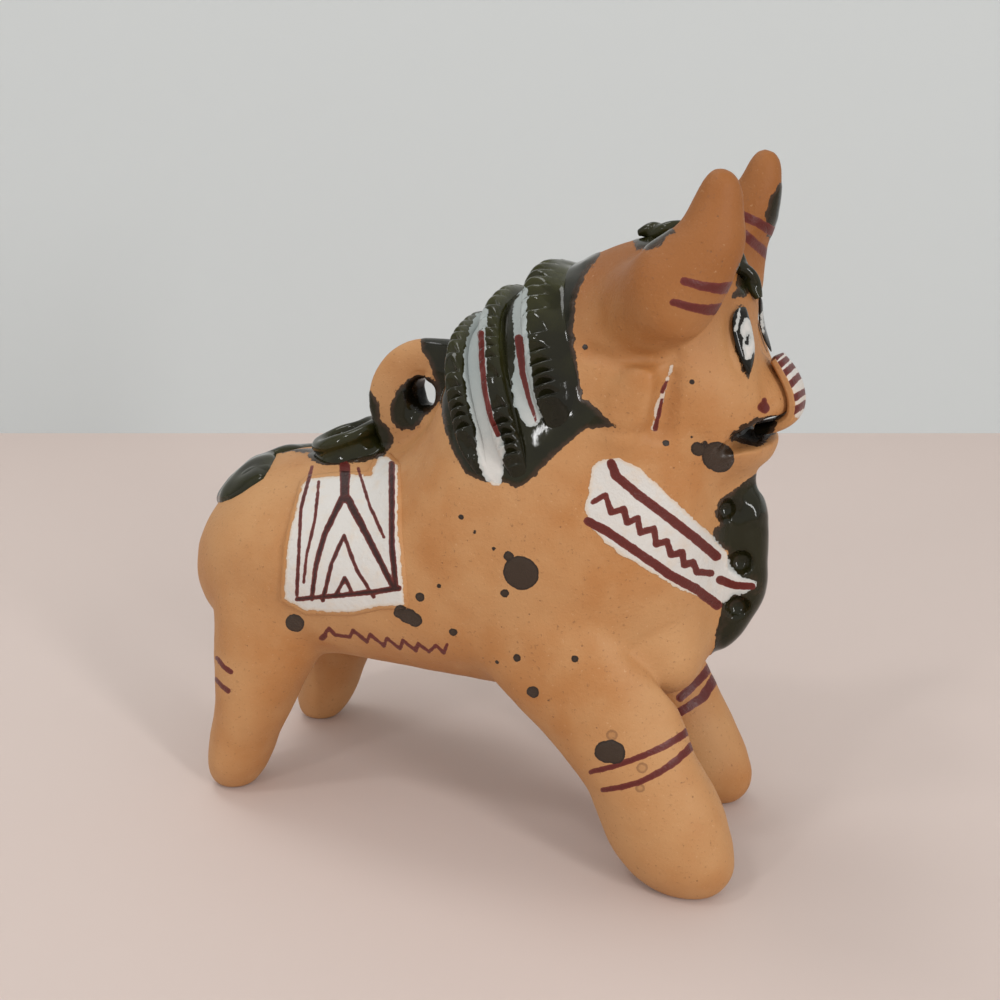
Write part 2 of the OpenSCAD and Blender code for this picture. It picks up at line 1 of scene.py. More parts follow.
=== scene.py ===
"""Pottery bull: a fired clay skin with glaze, slip and line painting, and trimmings luted on it."""

import json
import math

import bmesh
import bpy
import numpy as np
from mathutils import Matrix, Vector
from mathutils.bvhtree import BVHTree


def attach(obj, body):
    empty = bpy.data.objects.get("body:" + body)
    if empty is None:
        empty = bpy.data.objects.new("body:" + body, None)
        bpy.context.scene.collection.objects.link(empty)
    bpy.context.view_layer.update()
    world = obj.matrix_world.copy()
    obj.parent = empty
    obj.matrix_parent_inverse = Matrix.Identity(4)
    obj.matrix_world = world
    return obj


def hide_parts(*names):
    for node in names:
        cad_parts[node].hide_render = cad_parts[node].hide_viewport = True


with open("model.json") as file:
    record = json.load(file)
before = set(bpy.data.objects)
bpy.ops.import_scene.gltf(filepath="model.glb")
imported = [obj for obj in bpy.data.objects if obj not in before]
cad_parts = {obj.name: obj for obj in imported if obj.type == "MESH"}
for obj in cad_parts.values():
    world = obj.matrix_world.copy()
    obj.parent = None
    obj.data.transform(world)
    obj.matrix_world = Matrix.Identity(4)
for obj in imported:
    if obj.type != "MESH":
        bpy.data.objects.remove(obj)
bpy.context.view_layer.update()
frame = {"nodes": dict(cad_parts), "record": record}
rng = np.random.default_rng(11)

MM = 0.001

# The photograph's view: eye, heading to the left of +Y, pitch down, focal length in pixels
EYE = np.array((104, -223, 140)) * MM
HEADING = math.radians(24)
PITCH = math.radians(17.1)
FOCAL_PX = 1300
FRAME_PX = 1000
SENSOR_MM = 36
AHEAD = np.array((-math.sin(HEADING), math.cos(HEADING), 0))
ACROSS = np.array((math.cos(HEADING), math.sin(HEADING), 0))
UP = np.array((0, 0, 1))
LOOK = AHEAD * math.cos(PITCH) - UP * math.sin(PITCH)
LOOK_UP = UP * math.cos(PITCH) + AHEAD * math.sin(PITCH)


def project(points):
    """Pixels of the points in the photograph's frame, and pixels to a millimetre at each."""
    d = points - EYE
    depth = d @ LOOK
    x = FRAME_PX / 2 + FOCAL_PX * (d @ ACROSS) / depth
    y = FRAME_PX / 2 - FOCAL_PX * (d @ LOOK_UP) / depth
    return np.stack([x, y], 1), FOCAL_PX / depth * MM


def sight(x, y):
    """Direction from the eye through a pixel of the photograph's frame."""
    d = LOOK * FOCAL_PX + ACROSS * (x - FRAME_PX / 2) + LOOK_UP * (FRAME_PX / 2 - y)
    return d / np.linalg.norm(d)


def mirrored(points):
    """Points with those of the left side brought over to the right side, which the photograph shows."""
    return points * np.where(points[:, 1:2] > 0, (1, -1, 1), (1, 1, 1))


def smoothstep(low, high, v):
    s = np.clip((v - low) / (high - low), 0, 1)
    return s * s * (3 - 2 * s)


def unit(vectors):
    return vectors / np.linalg.norm(vectors, axis=-1, keepdims=True)


def waves(points, length, count=24):
    """Soft random field of about unit size whose bumps are about the length across."""
    turn = unit(rng.normal(size=(count, 3))) * 2 * math.pi / length * rng.uniform(0.6, 1.4, (count, 1))
    phase = rng.uniform(0, 2 * math.pi, count)
    return np.cos(points @ turn.T + phase).sum(1) * math.sqrt(2 / count)


def mount_place(name):
    """Place and axis of one of the record's mounts."""
    mount = next(m for m in frame["record"]["mounts"] if m["name"] == name)
    return np.array(mount["pos_m"]), np.array(mount["axis"])


def about_axis(points, place, axis):
    """Distance of the points from an axis, and how far along it they are from its place."""
    d = points - place
    along = d @ axis
    return np.linalg.norm(d - along[:, None] * axis, axis=1), along


# Meshes

WELD = 0.002 * MM
SKIN_VOXEL = 0.45 * MM
# Limits for joining two triangles to a quad, and how crisp a sharp edge stays
QUAD_BEND = math.radians(50)
QUAD_SKEW = math.radians(100)
CREASE = 0.6
# Share of the way that a point moves in a round of smoothing, and rounds that even out normals
STEP = 0.5
NORMAL_ROUNDS = 8


def welded(*names):
    """Bmesh of the named nodes, with shared corners made one."""
    bm = bmesh.new()
    for name in names:
        bm.from_mesh(frame["nodes"][name].data)
    bmesh.ops.remove_doubles(bm, verts=bm.verts, dist=WELD)
    return bm


def link(obj):
    bpy.context.scene.collection.objects.link(obj)


def evaluated(mesh, kind, **settings):
    """Mesh that one modifier makes of a mesh."""
    work = bpy.data.objects.new("work", mesh)
    link(work)
    modifier = work.modifiers.new(kind, kind)
    for key, value in settings.items():
        setattr(modifier, key, value)
    graph = bpy.context.evaluated_depsgraph_get()
    made = bpy.data.meshes.new_from_object(work.evaluated_get(graph))
    bpy.data.objects.remove(work)
    return made


def mesh_from(bm):
    mesh = bpy.data.meshes.new("work")
    bm.to_mesh(mesh)
    bm.free()
    return mesh


def rounded(bm, levels, sharp=None):
    """Subdivision surface over a bmesh, as quads. Edges sharper than the angle stay crisp."""
    bmesh.ops.join_triangles(
        bm, faces=bm.faces, angle_face_threshold=QUAD_BEND, angle_shape_threshold=QUAD_SKEW)
    if sharp is not None:
        crease = bm.edges.layers.float.new("crease_edge")
        for edge in bm.edges:
            if len(edge.link_faces) == 2 and edge.calc_face_angle() > math.radians(sharp):
                edge[crease] = CREASE
    return evaluated(mesh_from(bm), "SUBSURF", levels=levels)


def remeshed(mesh, voxel):
    return evaluated(mesh, "REMESH", mode="VOXEL", voxel_size=voxel)


def joined(meshes):
    bm = bmesh.new()
    for mesh in meshes:
        bm.from_mesh(mesh)
    return mesh_from(bm)


def vertex_values(mesh, key):
    out = np.empty(len(mesh.vertices) * 3)
    mesh.vertices.foreach_get(key, out)
    return out.reshape(-1, 3)


def points_of(mesh):
    return vertex_values(mesh, "co")


def normals_of(mesh):
    return vertex_values(mesh, "normal")


def edges_of(mesh):
    out = np.empty(len(mesh.edges) * 2, int)
    mesh.edges.foreach_get("vertices", out)
    return out.reshape(-1, 2)


def set_points(mesh, points):
    mesh.vertices.foreach_set("co", np.ascontiguousarray(points, float).ravel())
    mesh.update()


class Neighbours:
    """Means over the neighbours of some of a mesh's vertices."""

    def __init__(self, mesh, chosen):
        self.chosen = chosen
        number = np.full(len(mesh.vertices), -1)
        number[chosen] = np.arange(len(chosen))
        a, b = edges_of(mesh).T
        ends = number[np.r_[a, b]]
        others = np.r_[b, a][ends >= 0]
        ends = ends[ends >= 0]
        order = np.argsort(ends, kind="stable")
        self.others = others[order]
        count = np.bincount(ends, minlength=len(chosen))
        self.starts = np.r_[0, np.cumsum(count)[:-1]]
        self.count = count[:, None]

    def mean(self, values):
        return np.add.reduceat(values[self.others], self.starts) / self.count


def relax(mesh, weight, rounds, fill=False):
    """Moves points, by weight, to the middle of their neighbours, and in a fill only outwards."""
    points = points_of(mesh)
    weight = np.broadcast_to(weight, len(points))
    chosen = np.flatnonzero(weight > 0)
    around = Neighbours(mesh, chosen)
    share = STEP * weight[chosen, None]
    normal = normals_of(mesh)
    for _ in range(NORMAL_ROUNDS):
        normal[chosen] = unit(around.mean(normal))
    normal = normal[chosen]
    for _ in range(rounds):
        step = around.mean(points) - points[chosen]
        if fill:
            step = normal * np.maximum((step * normal).sum(1), 0)[:, None]
        points[chosen] += share * step
    set_points(mesh, points)


def tree_of(mesh):
    faces = [tuple(p.vertices) for p in mesh.polygons]
    return BVHTree.FromPolygons([v.co for v in mesh.vertices], faces)


def reach(tree, points, limit):
    """Distance of each point from the tree's surface, no more than the limit."""
    out = np.full(len(points), limit)
    for i, p in enumerate(points):
        found = tree.find_nearest(p, limit)
        if found[3] is not None:
            out[i] = found[3]
    return out


def in_box(points, corners, spare):
    """Whether each point is in the box round the corners, with room to spare."""
    return ((points > corners.min(0) - spare) & (points < corners.max(0) + spare)).all(1)


# Painting, in pixels of the photograph's frame. A line is a width at each end, and its points.

# Most millimetres that a coat's field tells, and its value on a piece that is glazed all over
FAR = 4.0
GLAZED = 2.0
COATS = ("dark", "white", "red", "spot", "worn")
# Thickness of each raised coat and width of its edge in mm, and how far the edge spills over
COAT_RELIEF = {"dark": (0.16, 0.7), "white": (0.06, 0.4), "red": (0.05, 0.3), "spot": (0.14, 0.8)}
COAT_SPILL = 0.15
# Pixels round a shape within which it is measured, and how far a spot is out of true
NEAR_PX = 30
SPOT_SKEW = 0.12
# Least cosine to the eye at which a vertex still takes the photograph's paint
EDGE_ON = -0.05
# Marks in place of the share of green: slip that stays bright over glaze, and glaze in a hollow, made
# darkest and nearly without reflection as painted shade
BRIGHT_SLIP = -0.5
HOLLOW_SHADE = -1.0

MANE = [
    (414, 320), (420, 337), (422, 350), (431, 365), (438, 392), (445, 430), (454, 455), (466, 474),
    (483, 482), (504, 482), (518, 489), (535, 476), (552, 457), (573, 440), (586, 428), (617, 428),
    (600, 411), (583, 398), (578, 373), (574, 335), (575, 300), (585, 275), (600, 255), (606, 230),
    (540, 230), (470, 270),
]
HANDLE_FOOT = [
    (300, 450), (325, 459), (344, 464), (362, 462), (385, 456), (393, 443), (393, 435), (390, 429),
    (380, 418), (380, 405), (373, 393), (362, 385), (340, 415), (310, 432),
]
HANDLE_HOLE = [
    (401, 385), (392, 400), (390, 407), (391, 420), (396, 427), (403, 431), (415, 429), (420, 423),
    (428, 413), (433, 402), (433, 392), (428, 384), (420, 379), (410, 378),
]
MOUTH = [
    (731, 437), (742, 425), (758, 418), (776, 416), (776, 430), (765, 442), (763, 446), (751, 446),
    (732, 440),
]
BROW_PATCH = [
    (738, 262), (747, 266), (746, 277), (752, 287), (745, 297), (730, 298), (736, 290), (737, 277),
]
CROWN_PATCH = [(632, 238), (648, 230), (668, 222), (676, 232), (655, 249), (636, 250)]
LEFT_HORN_PATCH = [(790, 160), (783, 180), (770, 195), (765, 215), (768, 240), (778, 236), (795, 190)]
TAIL = [
    (200, 506), (214, 503), (230, 498), (242, 492), (252, 485), (263, 478), (270, 468), (275, 456),
    (277, 449), (262, 440), (235, 455), (210, 480),
]
SPINE_SMEAR = [(266, 445), (290, 441), (314, 446), (313, 453), (290, 452), (272, 455)]
DEWLAP = [
    (762, 470), (731, 491), (716, 503), (715, 516), (720, 523), (713, 532), (714, 541), (721, 548),
    (733, 553), (732, 570), (745, 578), (757, 580), (757, 588), (745, 594), (727, 600), (727, 618),
    (717, 627), (715, 640), (720, 648), (731, 650), (752, 643), (772, 630), (790, 560), (780, 480),
]
CHEST_PANEL = [
    (592, 468), (603, 459), (619, 458), (640, 469), (672, 499), (703, 527), (716, 540), (726, 551),
    (730, 567), (741, 577), (757, 581), (757, 587), (745, 592), (731, 595), (724, 604), (708, 601),
    (680, 589), (656, 575), (624, 556), (605, 542), (589, 526), (585, 507), (589, 491),
]
CLOTH_PANEL = [
    (303, 484), (293, 520), (287, 545), (284, 599), (307, 611), (352, 612), (379, 606), (405, 605),
    (398, 534), (397, 465), (389, 457), (379, 457), (374, 466), (371, 475), (336, 476), (310, 479),
]
STRIP_REAR = [
    (486, 306), (476, 314), (468, 337), (464, 355), (464, 372), (467, 397), (473, 420), (476, 434),
    (477, 450), (480, 466), (487, 481), (493, 487), (499, 485), (504, 475), (504, 445), (496, 425),
    (488, 392), (486, 360), (486, 331), (488, 312),
]
STRIP_FRONT = [
    (525, 287), (514, 303), (513, 312), (514, 337), (516, 356), (512, 381), (514, 403), (522, 419),
    (530, 428), (537, 429), (542, 420), (537, 403), (533, 384), (530, 359), (527, 334), (527, 306),
    (529, 291),
]
EAR_RIM = (2.5, 6, [(672, 366), (667, 381), (662, 396), (656, 412), (654, 428)])

EYE_CRESCENT = [(739, 305), (736, 320), (735, 330), (738, 328), (740, 315), (741, 307)]
EYE_WHITE = [
    (740, 325), (745, 318), (750, 320), (755, 335), (756, 348), (752, 358), (745, 361), (743, 350),
    (742, 338),
]
PUPIL = (3, 4.5, [(748, 334), (747, 342)])

RED_CHEST = [
    (9, 10, [(611, 463), (616, 476), (640, 496), (664, 514), (696, 539), (716, 556)]),
    (9, 10, [(588, 521), (608, 532), (640, 554), (672, 576), (696, 589), (717, 605)]),
    (5.6, 7, [
        (593, 502), (606, 495), (611, 513), (624, 508), (627, 523), (638, 518), (640, 533),
        (654, 528), (656, 544), (667, 541), (671, 555), (682, 552), (684, 565), (693, 562),
        (697, 572), (711, 573)]),
    (9, 7, [(720, 580), (735, 585), (752, 586)]),
]
RED_CLOTH = [
    (3.6, 3.6, [(312, 467), (301, 509), (297, 595)]),
    (3.2, 3, [(319, 482), (315, 520), (307, 554), (304, 582)]),
    (11, 9, [(345, 467), (345, 499)]),
    (7, 4.4, [(342, 499), (325, 534), (316, 565), (312, 599)]),
    (8, 6, [(348, 499), (370, 541), (394, 588)]),
    (6, 6, [(392, 464), (392, 545), (396, 588)]),
    (2.8, 3.4, [(358, 468), (370, 506), (384, 537)]),
    (4.5, 6, [(297, 599), (343, 595), (379, 591), (399, 588)]),
    (4.4, 3.6, [(323, 600), (332, 563), (344, 536), (357, 570), (374, 597)]),
    (4, 4, [(336, 595), (345, 578), (353, 594)]),
]
RED_BELLY = [
    (3.6, 3.2, [
        (322, 638), (329, 628), (335, 635), (350, 637), (353, 630), (367, 642), (370, 634),
        (384, 646), (387, 638), (400, 649), (403, 640), (416, 651), (418, 643), (429, 652),
        (436, 645), (444, 653), (447, 644)]),
    (6, 5, [(322, 638), (325, 636)]),
]
RED_MANE = [
    (6, 5, [(481, 333), (482, 363), (485, 392), (491, 419), (498, 435)]),
    (8, 3, [(519, 339), (523, 373), (529, 398), (537, 423)]),
]
RED_EAR = [
    (3, 4, [(667, 381), (662, 392)]),
    (3, 5, [(662, 399), (655, 429)]),
]
RED_NOSTRIL = [(11, 11, [(763, 407), (764, 408)]), (5, 7, [(764, 400), (763, 408)])]
RED_TONGUE = [
    (7, 6, [(771, 361), (781, 353)]), (7, 6, [(777, 367), (787, 359)]), (7, 6, [(784, 374), (797, 362)]),
    (7, 6, [(790, 385), (804, 371)]), (7, 6, [(794, 398), (810, 388)]), (7, 6, [(791, 413), (809, 401)]),
]
RED_RIGHT_HORN = [
    (8, 12, [(684, 281), (701, 286), (720, 289), (740, 286)]),
    (7, 12, [(673, 302), (690, 307), (708, 310), (726, 308)]),
]
RED_LEFT_HORN = [
    (9.5, 9.5, [(735, 213), (745, 217), (757, 222), (772, 231), (790, 240)]),
    (9.5, 9.5, [(730, 228), (745, 235), (762, 250), (775, 262)]),
]
RED_RIGHT_FRONT_LEG = [
    (5, 8.5, [(591, 772), (615, 766), (640, 757), (663, 747), (680, 737), (694, 726), (708, 712)]),
    (5, 9, [(603, 790), (622, 787), (640, 782), (660, 772), (676, 761), (690, 748), (712, 722)]),
]
RED_LEFT_FRONT_LEG = [
    (8, 8, [(680, 698), (690, 689), (703, 676), (718, 655)]),
    (9, 10, [(680, 712), (690, 706), (703, 697), (716, 676)]),
]
RED_RIGHT_REAR_LEG = [
    (4, 5, [(217, 658), (224, 667), (231, 672)]),
    (4, 5, [(216, 679), (222, 686), (228, 691)]),
]
# Spots of glaze: centre and radius
SPOTS = [
    (718, 457, 15.5), (698, 449, 7), (705, 443, 2.5), (666, 443, 3.5), (692, 437, 1.7),
    (692, 382, 2.5), (521, 573, 17), (509, 556, 5), (505, 593, 4), (461, 517, 3), (475, 532, 2),
    (613, 752, 12), (606, 752, 11), (295, 623, 9), (401, 612, 7), (408, 616, 8), (415, 620, 7),
    (420, 597, 4.5), (453, 632, 4), (439, 586, 2), (533, 692, 6), (517, 658, 4), (497, 662, 2),
    (575, 659, 3.5), (549, 700, 1.6), (585, 347, 3), (494, 549, 2),
]
GHOST_SPOTS = [(612, 735, 5), (642, 768, 5), (640, 788, 4)]

# Folds pressed into the clay, as lines, each with its depth in mm
FOLDS = [
    (0.9, (12, 9, [(590, 352), (612, 359), (636, 360), (660, 360), (676, 356)])),
    (1.1, (14, 20, [(671, 376), (668, 395), (665, 412), (663, 430)])),
    (0.5, (10, 8, [(600, 428), (628, 434), (656, 432)])),
    (0.6, (5, 4, [(737, 298), (731, 308), (729, 320), (728, 334), (730, 352), (735, 366), (742, 376)])),
    (-0.5, (3, 3, [(755, 476), (757, 500), (757, 522)])),
]


def off_segment(pix, a, b):
    """Share of the way from a to b that each pixel is along, and how far off it is."""
    t = np.clip((pix - a) @ (b - a) / ((b - a) @ (b - a)), 0, 1)
    return t, np.linalg.norm(pix - a - t[:, None] * (b - a), axis=1)


def line_field(pix, start, end, points):
    """Pixels inside a tapered line, less than nothing outside it."""
    out = np.full(len(pix), -np.inf)
    knots = np.array(points, float)
    along = np.r_[0, np.cumsum(np.linalg.norm(np.diff(knots, axis=0), axis=1))]
    width = start + (end - start) * along / along[-1]
    for a, b, wa, wb in zip(knots, knots[1:], width, width[1:]):
        t, away = off_segment(pix, a, b)
        out = np.maximum(out, (wa + (wb - wa) * t) / 2 - away)
    return out


def area_field(pix, points):
    """Pixels inside a closed outline, less than nothing outside it."""
    knots = np.array(points + points[:1], float)
    inside = np.zeros(len(pix), bool)
    away = np.full(len(pix), np.inf)
    for a, b in zip(knots, knots[1:]):
        away = np.minimum(away, off_segment(pix, a, b)[1])
        if a[1] != b[1]:
            crossing = a[0] + (pix[:, 1] - a[1]) * (b[0] - a[0]) / (b[1] - a[1])
            inside ^= ((a[1] > pix[:, 1]) != (b[1] > pix[:, 1])) & (pix[:, 0] < crossing)
    return np.where(inside, away, -away)


class Painting:
    """Coats over a mesh: for each vertex, the millimetres by which it is inside the coat."""

    def __init__(self, mesh, everywhere=False):
        self.mesh = mesh
        self.points = points_of(mesh)
        self.flank = mirrored(self.points)
        normals = normals_of(mesh) * np.where(self.points[:, 1:2] > 0, (1, -1, 1), (1, 1, 1))
        self.open = everywhere | ((normals * unit(EYE - self.flank)).sum(1) > EDGE_ON)
        self.coats = {name: np.full(len(self.points), -FAR) for name in COATS}

    def measure(self, shape, where=None, seen=False):
        """Millimetres inside a line or an outline, on both flanks alike, or as the eye sees it."""
        where = self.open if where is None else where
        pix, scale = project(self.points if seen else self.flank)
        is_line = isinstance(shape, tuple)
        knots = np.array(shape[-1] if is_line else shape, float)
        near = where & in_box(pix, knots, NEAR_PX)
        field = np.full(len(pix), -FAR)
        if near.any():
            part = line_field(pix[near], *shape) if is_line else area_field(pix[near], shape)
            field[near] = np.clip(part / scale[near], -FAR, FAR)
        return field

    def lay(self, coat, *shapes, where=None, seen=False):
        for shape in shapes:
            self.add(coat, self.measure(shape, where, seen))

    def add(self, coat, field):
        self.coats[coat] = np.maximum(self.coats[coat], np.clip(field, -FAR, FAR))

    def keep_out(self, coat, field):
        self.coats[coat] = np.minimum(self.coats[coat], -field)

    def dots(self, coat, spots):
        """Round spots, each a little out of true."""
        for x, y, r in spots:
            skew = r * SPOT_SKEW
            wide = 2 * r - skew
            self.lay(coat, (wide, wide, [(x - skew, y - skew / 2), (x + skew, y + skew / 2)]))

    def flanks(self):
        """The painting that both flanks share."""
        self.lay("dark", MANE, HANDLE_FOOT, HANDLE_HOLE, BROW_PATCH, CROWN_PATCH)
        self.lay("dark", DEWLAP, TAIL, SPINE_SMEAR)
        self.lay("white", CHEST_PANEL, STRIP_REAR, STRIP_FRONT, EAR_RIM)
        self.lay("red", *RED_CHEST, *RED_BELLY, *RED_MANE, *RED_EAR, *RED_NOSTRIL)
        self.dots("spot", SPOTS)
        self.dots("worn", GHOST_SPOTS)

    def raise_coats(self):
        """Gives the coats their thickness."""
        lift = np.zeros(len(self.points))
        for coat, (thick, edge) in COAT_RELIEF.items():
            lift = np.maximum(lift, thick * smoothstep(-COAT_SPILL, edge, self.coats[coat]))
        set_points(self.mesh, self.points + normals_of(self.mesh) * lift[:, None] * MM)

    def store(self, thin_sheen_and_shade=0.0):
        """Writes the coats on the mesh, with the share by which the dark glaze shows its green, which on
        the coils also carries painted sheen and in hollows marks painted shade.
        """
        for name, field in self.coats.items():
            self.mesh.attributes.new(name, "FLOAT", "POINT").data.foreach_set("value", field)
        values = np.broadcast_to(thin_sheen_and_shade, len(self.points)).astype(float)
        self.mesh.attributes.new("thin_sheen_and_shade", "FLOAT", "POINT").data.foreach_set("value", values)


# Skin

LIMBS = (
    "leg_front_right", "leg_front_left", "leg_rear_right", "leg_rear_left", "horn_right", "horn_left",
    "ear_right", "ear_left", "handle", "dewlap",
)
# How far each kind of limb's joint is rubbed, and for how many rounds it is filled and smoothed
JOINTS = {
    "leg": (13 * MM, 320, 40), "horn": (11 * MM, 260, 16), "ear": (8 * MM, 200, 16),
    "handle": (4 * MM, 60, 16), "dewlap": (5 * MM, 200, 16),
}
# Share of that distance that is rubbed in full, and rounds that take off the remeshed skin's steps
JOINT_CORE = 0.4
SKIN_ROUNDS = 6
# The way down the spout: its radius, and its length to either side of the mount's place
THROAT_R = 6.5 * MM
THROAT_HALF = 12 * MM
# The dewlap's lower part is drawn up from this height by the lift
DEWLAP_KNEE = 62 * MM
DEWLAP_LIFT = 4.5 * MM


def corner_keys(verts):
    return {tuple(round(c / WELD) for c in v.co) for v in verts}


def shell_mesh():
    """Hollow body and head as one shell: the faces of their joints go, and the rims are welded."""
    halves = welded("torso_right_half", "torso_left_half")
    head = welded("head")
    rim = corner_keys(halves.verts) & corner_keys(head.verts)
    halves.free()
    head.free()
    bm = welded("torso_right_half", "torso_left_half", "head")
    on_rim = {v for v in bm.verts if corner_keys([v]) <= rim}
    joint = [f for f in bm.faces if all(v in on_rim for v in f.verts)]
    seam = [f for f in bm.faces if all(abs(v.co.y) < WELD for v in f.verts)]
    bmesh.ops.delete(bm, geom=list(set(joint + seam)), context="FACES_ONLY")
    return rounded(bm, 2)


def largest_island(mesh):
    """Mesh without its loose crumbs."""
    edges = edges_of(mesh)
    label = np.arange(len(mesh.vertices))
    while True:
        low = label.copy()
        np.minimum.at(low, edges[:, 0], label[edges[:, 1]])
        np.minimum.at(low, edges[:, 1], label[edges[:, 0]])
        low = low[low]
        if (low == label).all():
            break
        label = low
    crumbs = np.flatnonzero(label != np.bincount(label).argmax())
    bm = bmesh.new()
    bm.from_mesh(mesh)
    bm.verts.ensure_lookup_table()
    bmesh.ops.delete(bm, geom=[bm.verts[i] for i in crumbs], context="VERTS")
    return mesh_from(bm)


def outer_side(mesh):
    """Vertices of the vessel's outside: those joined to the highest one without a way down the spout."""
    points = points_of(mesh)
    off, along = about_axis(points, *mount_place("spout_bore"))
    free = (off > THROAT_R) | (np.abs(along) > THROAT_HALF)
    a, b = edges_of(mesh).T
    found = np.zeros(len(points), bool)
    found[points[:, 2].argmax()] = True
    while True:
        grown = found.copy()
        grown[b[found[a] & free[b]]] = True
        grown[a[found[b] & free[a]]] = True
        if (grown == found).all():
            return found
        found = grown


def behind_ear_rim(points):
    pix, _ = project(mirrored(points))
    rim = np.array(EAR_RIM[-1], float)
    return pix[:, 0] < np.interp(pix[:, 1], rim[:, 1], rim[:, 0])


def clay_skin():
    """Skin over body and limbs with rubbed joints, the vertices on each limb, and those outside."""
    shell = shell_mesh()
    limbs = {name: rounded(welded(name), 2) for name in LIMBS}
    low = points_of(limbs["dewlap"])
    sag = np.clip((DEWLAP_KNEE - low[:, 2]) / (DEWLAP_KNEE - low[:, 2].min()), 0, 1)
    low[:, 2] += DEWLAP_LIFT * sag
    set_points(limbs["dewlap"], low)
    mesh = largest_island(remeshed(joined([shell, *limbs.values()]), SKIN_VOXEL))
    relax(mesh, 1, SKIN_ROUNDS)
    points = points_of(mesh)
    outside = outer_side(mesh)
    shell_tree = tree_of(shell)
    on = {}
    for kind, (width, fill_rounds, smooth_rounds) in JOINTS.items():
        rubbed = np.zeros(len(points))
        for name in (n for n in LIMBS if n.startswith(kind)):
            near = np.flatnonzero(outside & in_box(points, points_of(limbs[name]), width))
            to_limb = reach(tree_of(limbs[name]), points[near], width)
            to_shell = reach(shell_tree, points[near], width)
            share = 1 - smoothstep(JOINT_CORE * width, width, np.maximum(to_limb, to_shell))
            rubbed[near] = np.maximum(rubbed[near], share)
            on[name] = np.zeros(len(points), bool)
            on[name][near] = to_limb <= to_shell
        if kind == "ear":
            rubbed *= behind_ear_rim(points)
        if kind == "dewlap":
            rubbed[on["dewlap"]] = 1
        relax(mesh, rubbed, fill_rounds, fill=True)
        relax(mesh, rubbed, smooth_rounds)
    return mesh, on, outside


# Materials

class Graph:
    """Shader tree of one material, with short calls for its nodes."""

    def __init__(self, name):
        self.material = bpy.data.materials.new(name)
        self.material.use_nodes = True
        self.tree = self.material.node_tree
        self.tree.nodes.clear()
        self.place = self.node("ShaderNodeTexCoord").outputs["Object"]

    def node(self, kind, inputs=None, **settings):
        made = self.tree.nodes.new(kind)
        for key, value in settings.items():
            setattr(made, key, value)
        for key, value in (inputs or {}).items():
            if isinstance(value, bpy.types.NodeSocket):
                self.tree.links.new(value, made.inputs[key])
            else:
                made.inputs[key].default_value = value
        return made

    def field(self, name):
        return self.node("ShaderNodeAttribute", attribute_name=name).outputs["Fac"]

    def noise(self, size_mm, detail, rough=0.5):
        """Noise from 0 to 1 whose bumps are about the size across."""
        inputs = {"Vector": self.place, "Scale": 1000 / size_mm, "Detail": detail, "Roughness": rough}
        return self.node("ShaderNodeTexNoise", inputs).outputs["Fac"]

    def cells(self, size_mm):
        """Distance from the nearest of scattered points, in cells of about the size."""
        inputs = {"Vector": self.place, "Scale": 1000 / size_mm}
        return self.node("ShaderNodeTexVoronoi", inputs).outputs["Distance"]

    def height(self):
        return self.node("ShaderNodeSeparateXYZ", {"Vector": self.place}).outputs["Z"]

    def calc(self, operation, a, b, c=0.0):
        return self.node("ShaderNodeMath", {0: a, 1: b, 2: c}, operation=operation).outputs[0]

    def fade(self, value, low, high, start=0.0, end=1.0):
        inputs = {"Value": value, "From Min": low, "From Max": high, "To Min": start, "To Max": end}
        return self.node("ShaderNodeMapRange", inputs, interpolation_type="SMOOTHSTEP").outputs["Result"]

    def mix(self, share, a, b):
        return self.node("ShaderNodeMix", {0: share, 2: a, 3: b}, data_type="FLOAT").outputs[0]

    def tint(self, share, a, b):
        return self.node("ShaderNodeMix", {0: share, 6: a, 7: b}, data_type="RGBA").outputs[2]

    def ragged(self, coat, noise, size_mm):
        """A coat's field with its edge made uneven by the noise."""
        return self.calc("MULTIPLY_ADD", self.calc("SUBTRACT", noise, 0.5), size_mm, self.field(coat))


def rgb(r, g, b):
    """Linear colour of an sRGB one."""
    values = [c / 255 for c in (r, g, b)]
    return tuple(c / 12.92 if c <= 0.04045 else ((c + 0.055) / 1.055) ** 2.4 for c in values) + (1,)


CLAY = rgb(177, 126, 78)
CLAY_PALE = rgb(188, 142, 95)
CLAY_WARM = rgb(170, 109, 53)
CLAY_DEEP = rgb(140, 82, 29)
CLAY_SPECK = rgb(112, 76, 48)
CLAY_DUST = rgb(222, 184, 142)
GLAZE_DEEP = rgb(18, 16, 9)
# Olive of thin glaze, also used as painted sheen near the coils' crests
GLAZE_THIN_AND_SHEEN = rgb(56, 56, 24)
GLAZE_EDGE = rgb(66, 48, 36)
SLIP = rgb(203, 199, 193)
SLIP_THIN = rgb(206, 180, 150)
SLIP_GREY = rgb(158, 166, 164)
RED = rgb(88, 28, 22)
RED_DEEP = rgb(48, 18, 15)
RED_THIN = rgb(102, 37, 31)
SPOT = rgb(54, 41, 30)
SPOT_RIM = rgb(34, 25, 19)
# Half the width of the step from a coat to what it lies on, in mm
STEP_HALF = 0.06
# Heights between which the clay turns deeper, and the slip on the glaze greyer
DEEP_FROM = 95 * MM
DEEP_TO = 116 * MM
GREY_FROM = 76 * MM
GREY_TO = 96 * MM
# Specular level of the clay, of the glaze, and of the glaze in a hollow, which is cut low as painted
# shade
CLAY_SHINE = 0.36
GLAZE_SHINE = 0.26
HOLLOW_SHADE_SHINE = 0.04


